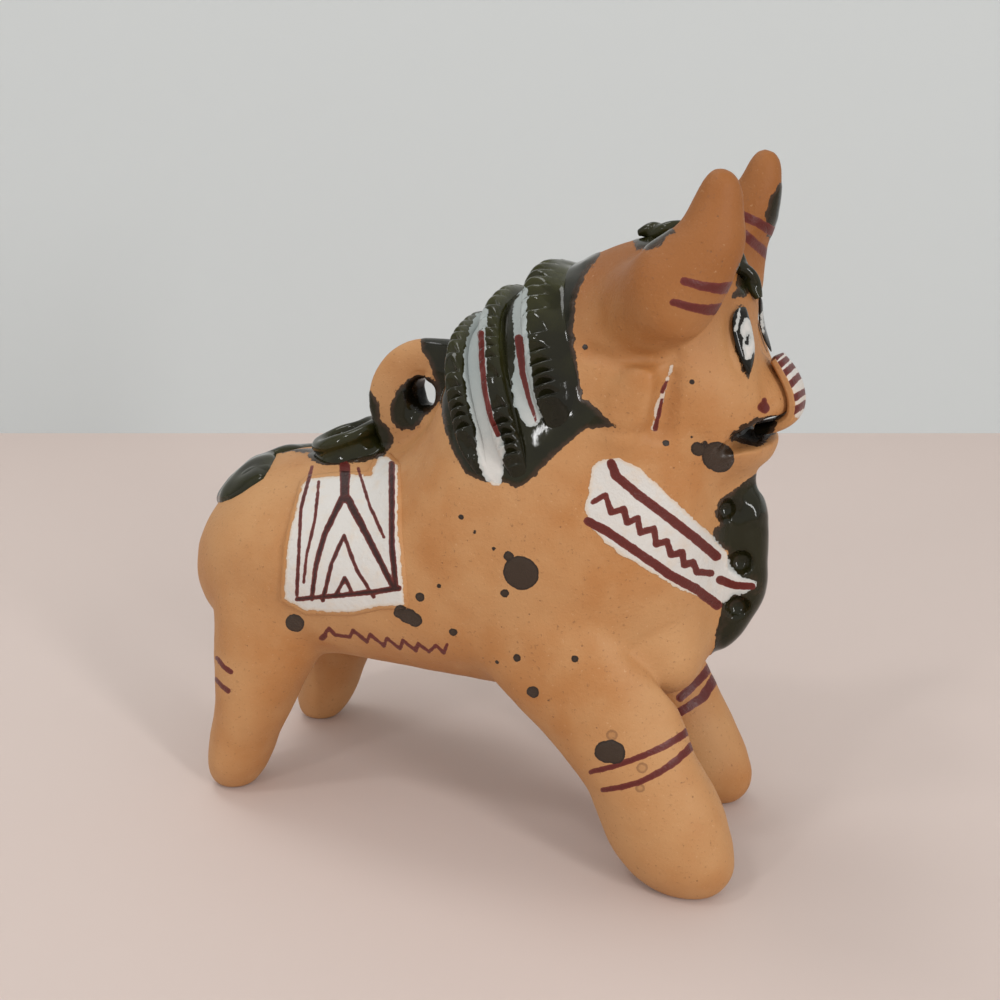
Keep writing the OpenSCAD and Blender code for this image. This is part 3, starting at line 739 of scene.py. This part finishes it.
def pottery(name, red_paint):
    """Fired clay under coats of dark glaze, white slip, red line paint and glaze spots."""
    g = Graph(name)
    cloud = g.noise(26, 3)
    patch = g.noise(7, 3)
    grain = g.noise(0.7, 3, 0.65)
    edge = g.noise(1.5, 3, 0.6)
    brush = g.noise(2.6, 4, 0.6)
    pits = g.cells(3.4)

    clay = g.tint(g.fade(cloud, 0.3, 0.7), CLAY_WARM, CLAY_PALE)
    clay = g.tint(0.35, clay, CLAY)
    clay = g.tint(g.fade(patch, 0.35, 0.75, 0, 0.5), clay, CLAY_PALE)
    clay = g.tint(g.fade(g.height(), DEEP_FROM, DEEP_TO, 0, 0.88), clay, CLAY_DEEP)
    clay = g.tint(g.fade(grain, 0.6, 0.75, 0, 0.55), clay, CLAY_SPECK)
    clay = g.tint(g.fade(grain, 0.36, 0.24, 0, 0.3), clay, CLAY_DUST)
    clay = g.tint(g.fade(pits, 0.06, 0.03, 0, 0.6), clay, CLAY_SPECK)
    worn = g.ragged("worn", edge, 0.5)
    ring = g.calc("MULTIPLY", g.fade(worn, -0.2, 0.0), g.fade(worn, 0.5, 0.1, 0.3, 1.0))
    clay = g.tint(g.calc("MULTIPLY", ring, 0.6), clay, CLAY_SPECK)

    in_dark = g.ragged("dark", edge, 1.4)
    dark = g.fade(in_dark, -STEP_HALF, STEP_HALF)
    # Share of green in the glaze: its own green, plus painted sheen near the coils' crests; hollows fall
    # to the darkest glaze as painted shade
    thin_sheen_and_shade = g.calc("MULTIPLY", g.field("thin_sheen_and_shade"), g.fade(patch, 0.3, 0.6, 0.4, 1.0))
    glaze = g.tint(thin_sheen_and_shade, GLAZE_DEEP, GLAZE_THIN_AND_SHEEN)
    glaze = g.tint(g.fade(in_dark, 0.1, 1.1, 0.8, 0.0), glaze, GLAZE_EDGE)
    colour = g.tint(dark, clay, glaze)
    rough = g.mix(dark, g.fade(cloud, 0.2, 0.8, 0.5, 0.66), g.fade(in_dark, 0.0, 0.8, 0.3, 0.06))

    in_white = g.ragged("white", edge, g.mix(dark, 0.8, 1.2))
    in_white = g.calc("MULTIPLY_ADD", g.calc("SUBTRACT", brush, 0.5), 1.2, in_white)
    thin_slip = g.tint(dark, SLIP_THIN, SLIP_GREY)
    white = g.fade(in_white, -STEP_HALF, STEP_HALF)
    slip = g.tint(g.fade(brush, 0.45, 0.75, 0, 0.3), SLIP, thin_slip)
    slip = g.tint(g.fade(in_white, 0.05, 0.7, 0.5, 0.0), slip, thin_slip)
    grey = g.calc("MULTIPLY", dark, g.fade(g.height(), GREY_FROM, GREY_TO, 0, 0.9))
    grey = g.calc("MULTIPLY", grey, g.fade(g.field("thin_sheen_and_shade"), BRIGHT_SLIP, 0))
    slip = g.tint(grey, slip, SLIP_GREY)
    colour = g.tint(white, colour, slip)
    rough = g.mix(white, rough, 0.42)

    in_red = g.ragged("red", edge, 0.45)
    red = g.fade(in_red, -0.07, 0.05)
    paint = g.tint(g.fade(in_red, 0.05, 0.4), RED_THIN, red_paint)
    paint = g.tint(g.fade(brush, 0.5, 0.75, 0, 0.4), paint, RED_THIN)
    colour = g.tint(red, colour, paint)
    rough = g.mix(red, rough, 0.38)

    in_spot = g.ragged("spot", edge, 0.5)
    spot = g.fade(in_spot, -STEP_HALF, STEP_HALF)
    drop = g.tint(g.fade(in_spot, 0.05, 0.5), SPOT_RIM, SPOT)
    colour = g.tint(spot, colour, drop)
    rough = g.mix(spot, rough, 0.3)

    bare = g.calc("SUBTRACT", 1.0, dark)
    relief = g.calc("MULTIPLY", grain, g.mix(bare, 0.1, 1.0))
    relief = g.calc("MULTIPLY_ADD", g.calc("MULTIPLY", white, brush), 1.4, relief)
    relief = g.calc("MULTIPLY_ADD", g.calc("MULTIPLY", bare, g.fade(pits, 0.03, 0.08)), 0.6, relief)
    bump = g.node("ShaderNodeBump", {"Strength": 0.65, "Distance": 0.2 * MM, "Height": relief})
    # In hollows the glaze's specular level drops, a painted shade that keeps reflections out of them
    glaze_shine = g.fade(g.field("thin_sheen_and_shade"), HOLLOW_SHADE, BRIGHT_SLIP, HOLLOW_SHADE_SHINE, GLAZE_SHINE)
    shine = g.mix(dark, CLAY_SHINE, glaze_shine)
    shader = g.node("ShaderNodeBsdfPrincipled", {
        "Base Color": colour, "Roughness": rough, "Specular IOR Level": shine,
        "Normal": bump.outputs["Normal"]})
    out = g.node("ShaderNodeOutputMaterial")
    g.tree.links.new(shader.outputs["BSDF"], out.inputs["Surface"])
    return g.material


RED_PAINTS = {"terracotta": RED, "dark_glaze": RED, "white_slip": RED_DEEP}
MATERIALS = {name: pottery(name, paint) for name, paint in RED_PAINTS.items()}


# Trimmings

COIL_STEP = 0.2 * MM
COIL_SIDES = 36
COIL_RISE = 2.8 * MM
COIL_SUNK = 0.8 * MM
NOTCH_PITCH = 3.0 * MM
NOTCH_BOW = 0.5 * MM
NOTCH_DEPTH = 1.7 * MM
# Where in its pitch a notch starts, deepens and ends, and its half width at the start and gained
NOTCH_START = 0.2
NOTCH_RUN = 0.7
NOTCH_END = 0.9
NOTCH_NARROW = 0.4
NOTCH_WIDENS = 0.55
# How uneven the pitch is, and how fast it changes along the coil
PITCH_SWAY = 0.07
PITCH_WAVE = 311
# How long a coil tapers, how far its end sinks, and how far down its glaze keeps a painted sheen,
# lighter and greener near the crest
COIL_TAPER = 10 * MM
COIL_DIP = 0.7 * MM
CREST_SHEEN_FADE = 34 * MM
# How a coil's line is read off its node: drop of the arch's middle below its ends, and parts
ARCH_DROP = 12 * MM
ARCH_PARTS = 36
# Half width of each coil, how far its crest leans back, and how much wider its front slope is
COILS = {
    "mane_coil_rear": (2.3 * MM, 1.4 * MM, 1.0), "mane_coil_middle": (2.65 * MM, 1.7 * MM, 1.0),
    "mane_coil_front": (2.9 * MM, 2.0 * MM, 1.9),
}
# The twisted forelock's line over the crown, its radius and its turns
FORELOCK_LINE = MM * np.array((
    (32, 0, 116), (35, 0, 121), (41, 0, 122), (47, 0, 119), (51, 0, 113), (53, 0, 107)))
FORELOCK_R = 2.3 * MM
FORELOCK_TURNS = 2.5
# How blunt its ends are, how far its strands swell, and how far it stands off its line
FORELOCK_BLUNT = 0.05
STRAND_SWELL = 0.16
FORELOCK_STAND = 0.4
# Middle radius of the spout's rim, radius of its roll and its lean to the right
SPOUT_RIM = 6.45 * MM
SPOUT_ROLL = 1.55 * MM
SPOUT_LEAN = math.radians(4)
SPOUT_SIDES = 72
# Rim's middle below the node's top, length of the throat, and the foot's spread, drop and sinking
SPOUT_TOP = 2.4 * MM
SPOUT_THROAT = 7 * MM
SPOUT_SPREAD = 0.9 * MM
SPOUT_DROP = 4 * MM
SPOUT_SINK = 0.2 * MM
# A slab's spare skin round its outline and sinking at its edge, in mm, and its back's thickness
SLAB_SPARE = 0.4
SLAB_SINK = 0.3
SLAB_BACK = 0.6 * MM
# Pits pressed in the dewlap: pixel of each and its radius
PITS = [(727, 510, 2.2 * MM), (741, 563, 2.5 * MM), (738, 608, 2.5 * MM)]
# How far the round tool stands off the skin, in radii, and how its axis is turned to the side
PIT_STAND = 0.2
PIT_KEEP = (0.5, 1, 0.5)
PIT_TURN = (0.2, -0.3, 0)
# Soft pushes at nose, bridge, horns, chest and shoulder: middle, reach and shift in mm, and full share
PUSHES = [
    ((58, 0, 92), 8.5, (1.9, 0, 0)),
    ((55, 8, 100), 10, (-2.2, -0.4, 0)),
    ((50.4, 17, 111.6), 9, (-2.9, -1.3, 0)),
    ((51.5, -17, 123), 11, (1.0, 0.5, 0)),
    ((43, -6, 33), 9, (3.0, 1.2, 0)),
    ((46, -19, 37), 13, (2.2, 1.0, 0)),
    ((44, -12, 42), 11, (3.7, -2.0, -1.6)),
]
PUSH_CORE = 0.1
# The mouth's walls on the head's node, in mm: they lie beyond this x, between these heights
WALL_X = 48
WALL_Z = (80, 92)


def grid_mesh(rows, capped=True):
    """Mesh of rings of points, each joined to the next."""
    count, sides = rows.shape[:2]
    faces = []
    for i in range(count - 1):
        for k in range(sides):
            n = (k + 1) % sides
            faces.append((i * sides + k, (i + 1) * sides + k, (i + 1) * sides + n, i * sides + n))
    if capped:
        faces.append(tuple(range(sides)))
        faces.append(tuple(range((count - 1) * sides, count * sides))[::-1])
    mesh = bpy.data.meshes.new("work")
    mesh.from_pydata(rows.reshape(-1, 3).tolist(), [], faces)
    return mesh


def softened(values, rounds):
    """Running mean of the rows of an array, with its ends kept."""
    for _ in range(rounds):
        values[1:-1] = (values[:-2] + 2 * values[1:-1] + values[2:]) / 4
    return values


def laid(line, tree):
    """Points and normals on the skin under a line, at even steps from end to end."""
    along = np.r_[0, np.cumsum(np.linalg.norm(np.diff(line, axis=0), axis=1))]
    steps = np.arange(0, along[-1], COIL_STEP)
    line = np.stack([np.interp(steps, along, line[:, k]) for k in range(3)], 1)
    found = [tree.find_nearest(p) for p in line]
    base = softened(np.array([tuple(f[0]) for f in found]), 30)
    normal = softened(np.array([tuple(f[1]) for f in found]), 60)
    return base, unit(normal)


def coil_line(name, lean, tree):
    """Points and normals on the skin under the arch of a coil's node, at even steps from end to end."""
    points = points_of(frame["nodes"][name].data)
    low = points[:, 2].min() - ARCH_DROP
    turn = np.arctan2(points[:, 1], points[:, 2] - low)
    bins = np.linspace(turn.min(), turn.max() + 1e-6, ARCH_PARTS + 1)
    which = np.digitize(turn, bins)
    parts = (points[which == k] for k in range(1, len(bins)))
    line = softened(np.array([part.mean(0) for part in parts if len(part)]), 6)
    line[:, 0] -= lean * np.sin(np.linspace(0, math.pi, len(line))) ** 2
    return laid(line, tree)


def coil(name, tree):
    """Roll of clay over the neck, pressed all along with bowed notches, and how green its glaze is, with
    a painted sheen that is lightest at the crest and fades lower down.
    """
    half, lean, slope = COILS[name]
    base, normal = coil_line(name, lean, tree)
    tangent = unit(np.gradient(base, axis=0))
    side = unit(np.cross(tangent, normal))
    along = np.arange(len(base)) * COIL_STEP
    down = np.abs(along - along[base[:, 2].argmax()])[:, None]
    turn = np.linspace(0, 2 * math.pi, COIL_SIDES, endpoint=False)[None]
    across = np.cos(turn)
    up = np.sin(turn)
    widening = np.where(across > 0, slope, 1)
    pitch = NOTCH_PITCH * (1 + PITCH_SWAY * np.sin(along * PITCH_WAVE + len(name)))[:, None]
    phase = (down - NOTCH_BOW * across ** 2) / pitch % 1
    dent = np.clip((phase - NOTCH_START) / NOTCH_RUN, 0, 1) * (1 - smoothstep(NOTCH_END, 1, phase))
    aside = np.abs(across) * widening / (NOTCH_NARROW + NOTCH_WIDENS * phase)
    dent *= 1 - smoothstep(0.35, 1, aside)
    end = np.minimum(along, along[-1] - along)[:, None]
    body = smoothstep(0, COIL_TAPER, end)
    arch = np.clip(up, 0, 1) ** widening ** 2
    rise = np.where(up > 0, (COIL_RISE - NOTCH_DEPTH * dent * body) * arch, COIL_SUNK * up) * body
    rise = rise - COIL_DIP * (1 - body) ** 2
    wide = half * (0.5 + 0.5 * body) * widening
    rows = (base[:, None] + side[:, None] * (across * wide)[..., None]
            + normal[:, None] * rise[..., None])
    # Painted sheen: the glaze is greenest and lightest at the crest and darker lower down
    green_and_sheen = np.broadcast_to(np.clip(1.1 - down / CREST_SHEEN_FADE, 0.15, 1), rise.shape)
    return grid_mesh(rows), green_and_sheen.ravel()


def forelock(tree):
    """Two strands twisted together, laid over the crown."""
    base, normal = laid(FORELOCK_LINE, tree)
    side = unit(np.cross(np.gradient(base, axis=0), normal))
    s = np.linspace(0, 1, len(base))[:, None]
    turn = np.linspace(0, 2 * math.pi, COIL_SIDES, endpoint=False)[None]
    size = FORELOCK_R * np.sin(math.pi * (FORELOCK_BLUNT + (1 - 2 * FORELOCK_BLUNT) * s)) ** 0.5
    twist = np.cos(2 * (turn - 2 * math.pi * FORELOCK_TURNS * s))
    wide = size * (1 - STRAND_SWELL + STRAND_SWELL * twist)
    rows = (base[:, None] + side[:, None] * (wide * np.cos(turn))[..., None]
            + normal[:, None] * (wide * np.sin(turn) + FORELOCK_STAND * FORELOCK_R)[..., None])
    return grid_mesh(rows)


def spout(tree):
    """Rolled rim of the vessel's mouth, whose foot spreads onto the skin."""
    place, axis = mount_place("spout_bore")
    corners = points_of(frame["nodes"]["spout_ring"].data)
    middle = ((corners - place) @ axis).max() - SPOUT_TOP
    turn = np.linspace(0, 2 * math.pi, SPOUT_SIDES, endpoint=False)
    out = np.stack([np.cos(turn) * axis[2], np.sin(turn), -np.cos(turn) * axis[0]], 1)
    high = middle + SPOUT_RIM * np.sin(turn) * math.tan(SPOUT_LEAN)
    rows = [place + out * (SPOUT_RIM - SPOUT_ROLL) + axis * (middle - SPOUT_THROAT)]
    for angle in np.linspace(math.pi, -0.25 * math.pi, 16):
        away = SPOUT_RIM + SPOUT_ROLL * math.cos(angle)
        rows.append(place + out * away + axis * (high + SPOUT_ROLL * math.sin(angle))[:, None])
    under = rows[-1]
    seat = place + out * (SPOUT_RIM + SPOUT_ROLL + SPOUT_SPREAD) + axis * (middle - SPOUT_DROP)
    drop = np.array([tuple(tree.find_nearest(p)[0]) for p in seat]) - SPOUT_SINK * axis - under
    down = (drop @ axis)[:, None] * axis
    for angle in np.linspace(0, math.pi / 2, 7)[1:]:
        rows.append(under + down * math.sin(angle) + (drop - down) * (1 - math.cos(angle)))
    return grid_mesh(np.array(rows), capped=False)


def slab(source, shape, where, thick, edge, grown=0.3):
    """Slab of clay on a mesh over a grown outline, with rounded edges that sink into the mesh."""
    bm = bmesh.new()
    bm.from_mesh(source)
    keep = Painting(source).measure(shape, where) > -grown - SLAB_SPARE
    bmesh.ops.delete(bm, geom=[v for v, k in zip(bm.verts, keep) if not k], context="VERTS")
    mesh = evaluated(mesh_from(bm), "SUBSURF", levels=1)
    inside = Painting(mesh, True).measure(shape)
    s = np.clip((inside + grown) / edge, 0, 1)
    lift = thick * np.sqrt(s * (2 - s)) - SLAB_SINK * (1 - s)
    set_points(mesh, points_of(mesh) + normals_of(mesh) * lift[:, None] * MM)
    return evaluated(mesh, "SOLIDIFY", thickness=SLAB_BACK, offset=-1)


def waved(mesh, height, length):
    """Moves a mesh's points in and out by soft waves."""
    points = points_of(mesh)
    set_points(mesh, points + normals_of(mesh) * height * waves(points, length)[:, None])


def pushed(points):
    """Points moved by the soft pushes."""
    for middle, size, shift in PUSHES:
        away = np.linalg.norm(points / MM - middle, axis=1) / size
        points = points + (1 - smoothstep(PUSH_CORE, 1, away))[:, None] * np.array(shift) * MM
    return points


def pitted(mesh):
    """Points of a mesh pressed by a round tool at each pit, on both sides."""
    tree = tree_of(mesh)
    points = points_of(mesh)
    sides = np.where(points[:, 1:2] > 0, (1, -1, 1), (1, 1, 1))
    points = points * sides
    for x, y, radius in PITS:
        hit, normal = (np.array(v) for v in tree.ray_cast(Vector(EYE), Vector(sight(x, y)))[:2])
        normal = unit(normal * PIT_KEEP + PIT_TURN)
        q = points - (hit + normal * PIT_STAND * radius)
        s = q @ normal
        inside = (q * q).sum(1) < radius ** 2
        sink = s + np.sqrt(np.maximum(s * s - (q * q).sum(1) + radius ** 2, 0))
        points = points - np.where(inside, sink, 0)[:, None] * normal
    return points * sides


def mouth_walls():
    """Tree of the mouth's walls: the faces that run straight across the muzzle's tip."""
    bm = welded("head")

    def on_wall(face):
        x, _, z = face.calc_center_median() / MM
        straight = abs(face.normal.y) < 0.02 and face.normal.z < 0.5
        return straight and x > WALL_X and WALL_Z[0] < z < WALL_Z[1]

    bmesh.ops.delete(bm, geom=[f for f in bm.faces if not on_wall(f)], context="FACES")
    return tree_of(mesh_from(bm))


def parted(mesh, chosen):
    """Two meshes: the faces whose vertices are not all chosen, and those whose vertices are."""
    parts = []
    for kept in (False, True):
        bm = bmesh.new()
        bm.from_mesh(mesh)
        bm.verts.ensure_lookup_table()
        drop = [f for f in bm.faces if all(chosen[v.index] for v in f.verts) != kept]
        bmesh.ops.delete(bm, geom=drop, context="FACES")
        parts.append(mesh_from(bm))
    return parts


def add_piece(name, mesh, slot, *nodes):
    """Puts a finished mesh in the scene in place of the named nodes."""
    mesh.name = name
    mesh.polygons.foreach_set("use_smooth", np.ones(len(mesh.polygons), bool))
    piece = bpy.data.objects.new(name, mesh)
    link(piece)
    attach(piece, "root")
    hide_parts(*nodes)
    mesh.materials.append(MATERIALS[slot])


def add_glazed(name, mesh, node, green_and_sheen):
    """Adds a piece that is glazed all over and carries the painting of the flanks."""
    painting = Painting(mesh)
    painting.flanks()
    painting.add("dark", np.full(len(mesh.vertices), GLAZED))
    painting.store(green_and_sheen)
    add_piece(name, mesh, "dark_glaze", node)


# The bull

# Corner of the mouth: middle and half size in mm
MOUTH_CORNER = (46, 0, 85)
MOUTH_CORNER_HALF = (5, 20, 4)
# Shoulder: middle, and the reach over which its smoothing fades, in mm
SHOULDER = (46, -13, 37)
SHOULDER_REACH = (9, 14)
FOLD_SOFT = 1.4
# Nostrils: pixel and radius of each, and depth and softness of the dents in mm
NOSTRILS = ((763, 408, 5), (773, 404, 2))
NOSTRIL_DEPTH = 0.45
NOSTRIL_SOFT = 0.8
# The handle's hole, in mm: radius and half length, how far its wall is drawn in, and its glaze
HOLE_R = 4
HOLE_HALF = 6
HOLE_DRAW = 0.5
HOLE_GLAZE = 4.3
# Marks of fingers: height in mm and length, and the heights in mm over which they start
FINGER_MARKS = ((0.08, 15 * MM), (0.025, 5 * MM))
SOLE_EDGE = (0.5, 4)
# The tail's slab is behind and above these, and the paint of muzzle and mouth ahead of these
RUMP_X = -30 * MM
RUMP_Z = 50 * MM
MUZZLE_X = 45 * MM
MOUTH_X = 40 * MM
# Millimetres of glaze inside the dewlap's edge and round the mouth's walls
DEWLAP_GLAZE = 0.8
MOUTH_GLAZE = 0.5
MOUTH_SPARE = 0.3
# Glaze round a piece: its margin, and how far below the piece's top it goes, in mm
GLAZED_ROUND = {
    "spout_ring": (1.4, 30), "eye_right": (0.35, 30), "eye_left": (0.35, 30),
    "mane_coil_rear": (1.6, 11), "mane_coil_middle": (2.2, 11), "mane_coil_front": (2.2, 11),
}
# The tongue's white: middle of the curl, least cosine outwards from it, and lowest pixel
TONGUE_CURL = np.array((57, 0, 93.5)) * MM
TONGUE_OUT = 0.6
TONGUE_LOW_PX = 418

skin_mesh, on, outside = clay_skin()

# Face, shoulder, folds, finger marks and pits
points = points_of(skin_mesh)
corner = np.abs(points / MM - MOUTH_CORNER) < MOUTH_CORNER_HALF
relax(skin_mesh, outside & corner.all(1), rounds=200, fill=True)
points = pushed(points_of(skin_mesh))
set_points(skin_mesh, points)
away = np.linalg.norm(mirrored(points) / MM - SHOULDER, axis=1)
shoulder = outside * (1 - smoothstep(*SHOULDER_REACH, away))
relax(skin_mesh, shoulder, rounds=900, fill=True)
relax(skin_mesh, shoulder, rounds=140)
points = points_of(skin_mesh)
painting = Painting(skin_mesh)
painting.open &= outside
sunk = np.zeros(len(points))
for depth, line in FOLDS:
    sunk += depth * smoothstep(-FOLD_SOFT, FOLD_SOFT, painting.measure(line))
for x, y, r in NOSTRILS:
    dent = painting.measure((2 * r, 2 * r, [(x, y), (x + 0.5, y)]))
    sunk += NOSTRIL_DEPTH * smoothstep(-NOSTRIL_SOFT, NOSTRIL_SOFT, dent)
hole_off, hole_along = about_axis(points, *mount_place("handle_hole"))
in_hole = (hole_off < HOLE_R * MM) & (np.abs(hole_along) < HOLE_HALF * MM)
marks = sum(height * waves(points, length) for height, length in FINGER_MARKS)
marks *= smoothstep(*SOLE_EDGE, points[:, 2] / MM) * outside
lift = marks - sunk + HOLE_DRAW * in_hole
points = points + normals_of(skin_mesh) * lift[:, None] * MM
points[:, 2] = np.maximum(points[:, 2], 0)
set_points(skin_mesh, points)
points = pitted(skin_mesh)
set_points(skin_mesh, points)

# Slabs laid on the bare skin
cloth_side = {"saddle_cloth_right": -1, "saddle_cloth_left": 1}
cloths = {}
for name, side in cloth_side.items():
    on_side = outside & (np.sign(points[:, 1]) == side)
    cloths[name] = slab(skin_mesh, CLOTH_PANEL, on_side, thick=0.9, edge=1.0, grown=0.8)
on_rump = outside & (points[:, 0] < RUMP_X) & (points[:, 2] > RUMP_Z)
tail_mesh = slab(skin_mesh, TAIL, on_rump, thick=1.7, edge=2.6)
waved(tail_mesh, height=0.15 * MM, length=7 * MM)

painting = Painting(skin_mesh)
painting.open &= outside
painting.flanks()
painting.lay("red", *RED_CLOTH)
painting.lay("dark", LEFT_HORN_PATCH, where=on["horn_left"], seen=True)
painting.lay("red", *RED_RIGHT_HORN, where=on["horn_right"])
painting.lay("red", *RED_LEFT_HORN, where=on["horn_left"], seen=True)
painting.lay("red", *RED_RIGHT_FRONT_LEG, where=on["leg_front_right"])
painting.lay("red", *RED_LEFT_FRONT_LEG, where=on["leg_front_left"], seen=True)
painting.lay("red", *RED_RIGHT_REAR_LEG, where=on["leg_rear_right"] | on["leg_rear_left"])
painting.add("dark", np.where(in_hole, HOLE_GLAZE - hole_off / MM, -FAR))
painting.add("dark", np.where(on["dewlap"], DEWLAP_GLAZE, -FAR))
for name, (margin, depth) in GLAZED_ROUND.items():
    node_mesh = frame["nodes"][name].data
    corners = points_of(node_mesh)
    near = np.flatnonzero(outside & in_box(points, corners, FAR * MM))
    field = np.full(len(points), -FAR)
    field[near] = margin - reach(tree_of(node_mesh), points[near], FAR * MM) / MM
    field[points[:, 2] < corners[:, 2].max() - depth * MM] = -FAR
    painting.add("dark", field)
muzzle = np.flatnonzero(points[:, 0] > MUZZLE_X)
field = np.full(len(points), -FAR)
field[muzzle] = MOUTH_GLAZE - reach(mouth_walls(), points[muzzle], FAR * MM) / MM
in_mouth = painting.measure(MOUTH, outside & (points[:, 0] > MOUTH_X))
painting.add("dark", np.where(painting.open, np.minimum(field, in_mouth + MOUTH_SPARE), field))
painting.add("dark", in_mouth)
painting.raise_coats()
# Painted shade: the glaze in the handle's hole, in the mouth and on the mouth's walls is marked darkest
# and nearly without reflection
shaded_hollow = in_hole | (in_mouth > -MOUTH_SPARE) | (field > 0)
painting.store(thin_sheen_and_shade=np.where(shaded_hollow, HOLLOW_SHADE, 0.25))
skin_mesh, dewlap_mesh = parted(skin_mesh, on["dewlap"])
body_nodes = ("torso_right_half", "torso_left_half", "head", *(n for n in LIMBS if n != "dewlap"))
add_piece("clay_skin", skin_mesh, "terracotta", *body_nodes)
add_piece("glazed_dewlap", dewlap_mesh, "dark_glaze", "dewlap")

skin_tree = tree_of(skin_mesh)
for name in COILS:
    mesh, green_and_sheen = coil(name, skin_tree)
    add_glazed("notched_" + name, mesh, name, green_and_sheen)

for name, mesh in cloths.items():
    painting = Painting(mesh)
    painting.flanks()
    painting.lay("white", CLOTH_PANEL)
    painting.lay("red", *RED_CLOTH)
    painting.raise_coats()
    painting.store()
    add_piece("painted_" + name, mesh, "white_slip", name)

for name in ("eye_right", "eye_left"):
    mesh = rounded(welded(name), 3)
    set_points(mesh, pushed(points_of(mesh)))
    painting = Painting(mesh, True)
    painting.add("dark", np.full(len(mesh.vertices), GLAZED))
    painting.lay("white", EYE_CRESCENT, EYE_WHITE)
    painting.keep_out("white", painting.measure(PUPIL))
    painting.store(BRIGHT_SLIP)
    add_piece("painted_" + name, mesh, "white_slip", name)

mesh = rounded(welded("tongue"), 3, sharp=35)
painting = Painting(mesh, True)
outward = unit((points_of(mesh) - TONGUE_CURL) * (1, 0, 1))
pix, _ = project(points_of(mesh))
faces_out = (normals_of(mesh) * outward).sum(1)
outer = np.minimum((faces_out - TONGUE_OUT) * 2, (TONGUE_LOW_PX - pix[:, 1]) / 5)
painting.add("white", outer)
painting.lay("dark", MOUTH)
painting.lay("red", *RED_TONGUE, where=outer > -0.2, seen=True)
# Painted shade: the tongue's glaze inside the mouth is marked darkest and nearly without reflection
painting.store(HOLLOW_SHADE)
add_piece("painted_tongue", mesh, "terracotta", "tongue")

spout_mesh = spout(skin_tree)
waved(spout_mesh, height=0.12 * MM, length=8 * MM)
glazed = {"tail": tail_mesh, "spout_ring": spout_mesh, "forelock_twist": forelock(skin_tree)}
for name, mesh in glazed.items():
    add_glazed("glazed_" + name, mesh, name, green_and_sheen=0.5)


# Stage

# Metres from the eye to the wall, half the stage's width, and how far the wall goes below the floor
WALL_AWAY = 0.555
STAGE_HALF = 3
WALL_BELOW = 0.01
# What the lights aim at
AIM = Vector((0, 0, 0.06))
WORLD_LIGHT = 0.76
FLOOR_COLOUR = rgb(208, 192, 184)
WALL_COLOUR = rgb(200, 205, 205)


def flat(name, corners, colour, rough):
    mesh = bpy.data.meshes.new(name)
    mesh.from_pydata([tuple(c) for c in corners], [], [(0, 1, 2, 3)])
    material = bpy.data.materials.new(name)
    material.use_nodes = True
    shader = material.node_tree.nodes["Principled BSDF"]
    shader.inputs["Base Color"].default_value = colour
    shader.inputs["Roughness"].default_value = rough
    mesh.materials.append(material)
    obj = bpy.data.objects.new(name, mesh)
    link(obj)


def softbox(name, place, wide, tall, watts):
    light = bpy.data.lights.new(name, "AREA")
    light.shape = "RECTANGLE"
    light.size = wide
    light.size_y = tall
    light.energy = watts
    obj = bpy.data.objects.new(name, light)
    obj.location = place
    obj.rotation_euler = (Vector(place) - AIM).to_track_quat("Z", "Y").to_euler()
    link(obj)


wall_foot = EYE + AHEAD * WALL_AWAY
wall_foot[2] = 0
square = [(-1, -1), (1, -1), (1, 1), (-1, 1)]
floor = [(x * STAGE_HALF, y * STAGE_HALF, 0) for x, y in square]
flat("floor", floor, FLOOR_COLOUR, 0.8)
wall = []
for side, high in square:
    rise = STAGE_HALF if high > 0 else -WALL_BELOW
    wall.append(wall_foot + ACROSS * side * STAGE_HALF + UP * rise)
flat("back_wall", wall, WALL_COLOUR, 0.9)

world = bpy.data.worlds.new("studio")
bpy.context.scene.world = world
world.use_nodes = True
world.node_tree.nodes["Background"].inputs["Color"].default_value = (1, 1, 1, 1)
world.node_tree.nodes["Background"].inputs["Strength"].default_value = WORLD_LIGHT
softbox("window", (0.85, -0.5, 0.45), 0.1, 0.6, 4.0)
softbox("front", (-0.25, -0.95, 0.45), 0.03, 0.2, 1.1)
softbox("ceiling", (-0.3, 0.1, 0.9), 0.3, 0.3, 1.5)
softbox("lamp", (-0.2, -0.45, 0.85), 0.1, 0.1, 0.8)

lens = bpy.data.cameras.new("photo_view")
lens.sensor_width = SENSOR_MM
lens.lens = FOCAL_PX / FRAME_PX * SENSOR_MM
lens.clip_start = 0.01
camera = bpy.data.objects.new("photo_view", lens)
axes = Matrix((ACROSS, LOOK_UP, -LOOK)).transposed().to_4x4()
camera.matrix_world = Matrix.Translation(EYE) @ axes
link(camera)
bpy.context.scene.camera = camera
bpy.context.scene.view_settings.view_transform = "Standard"
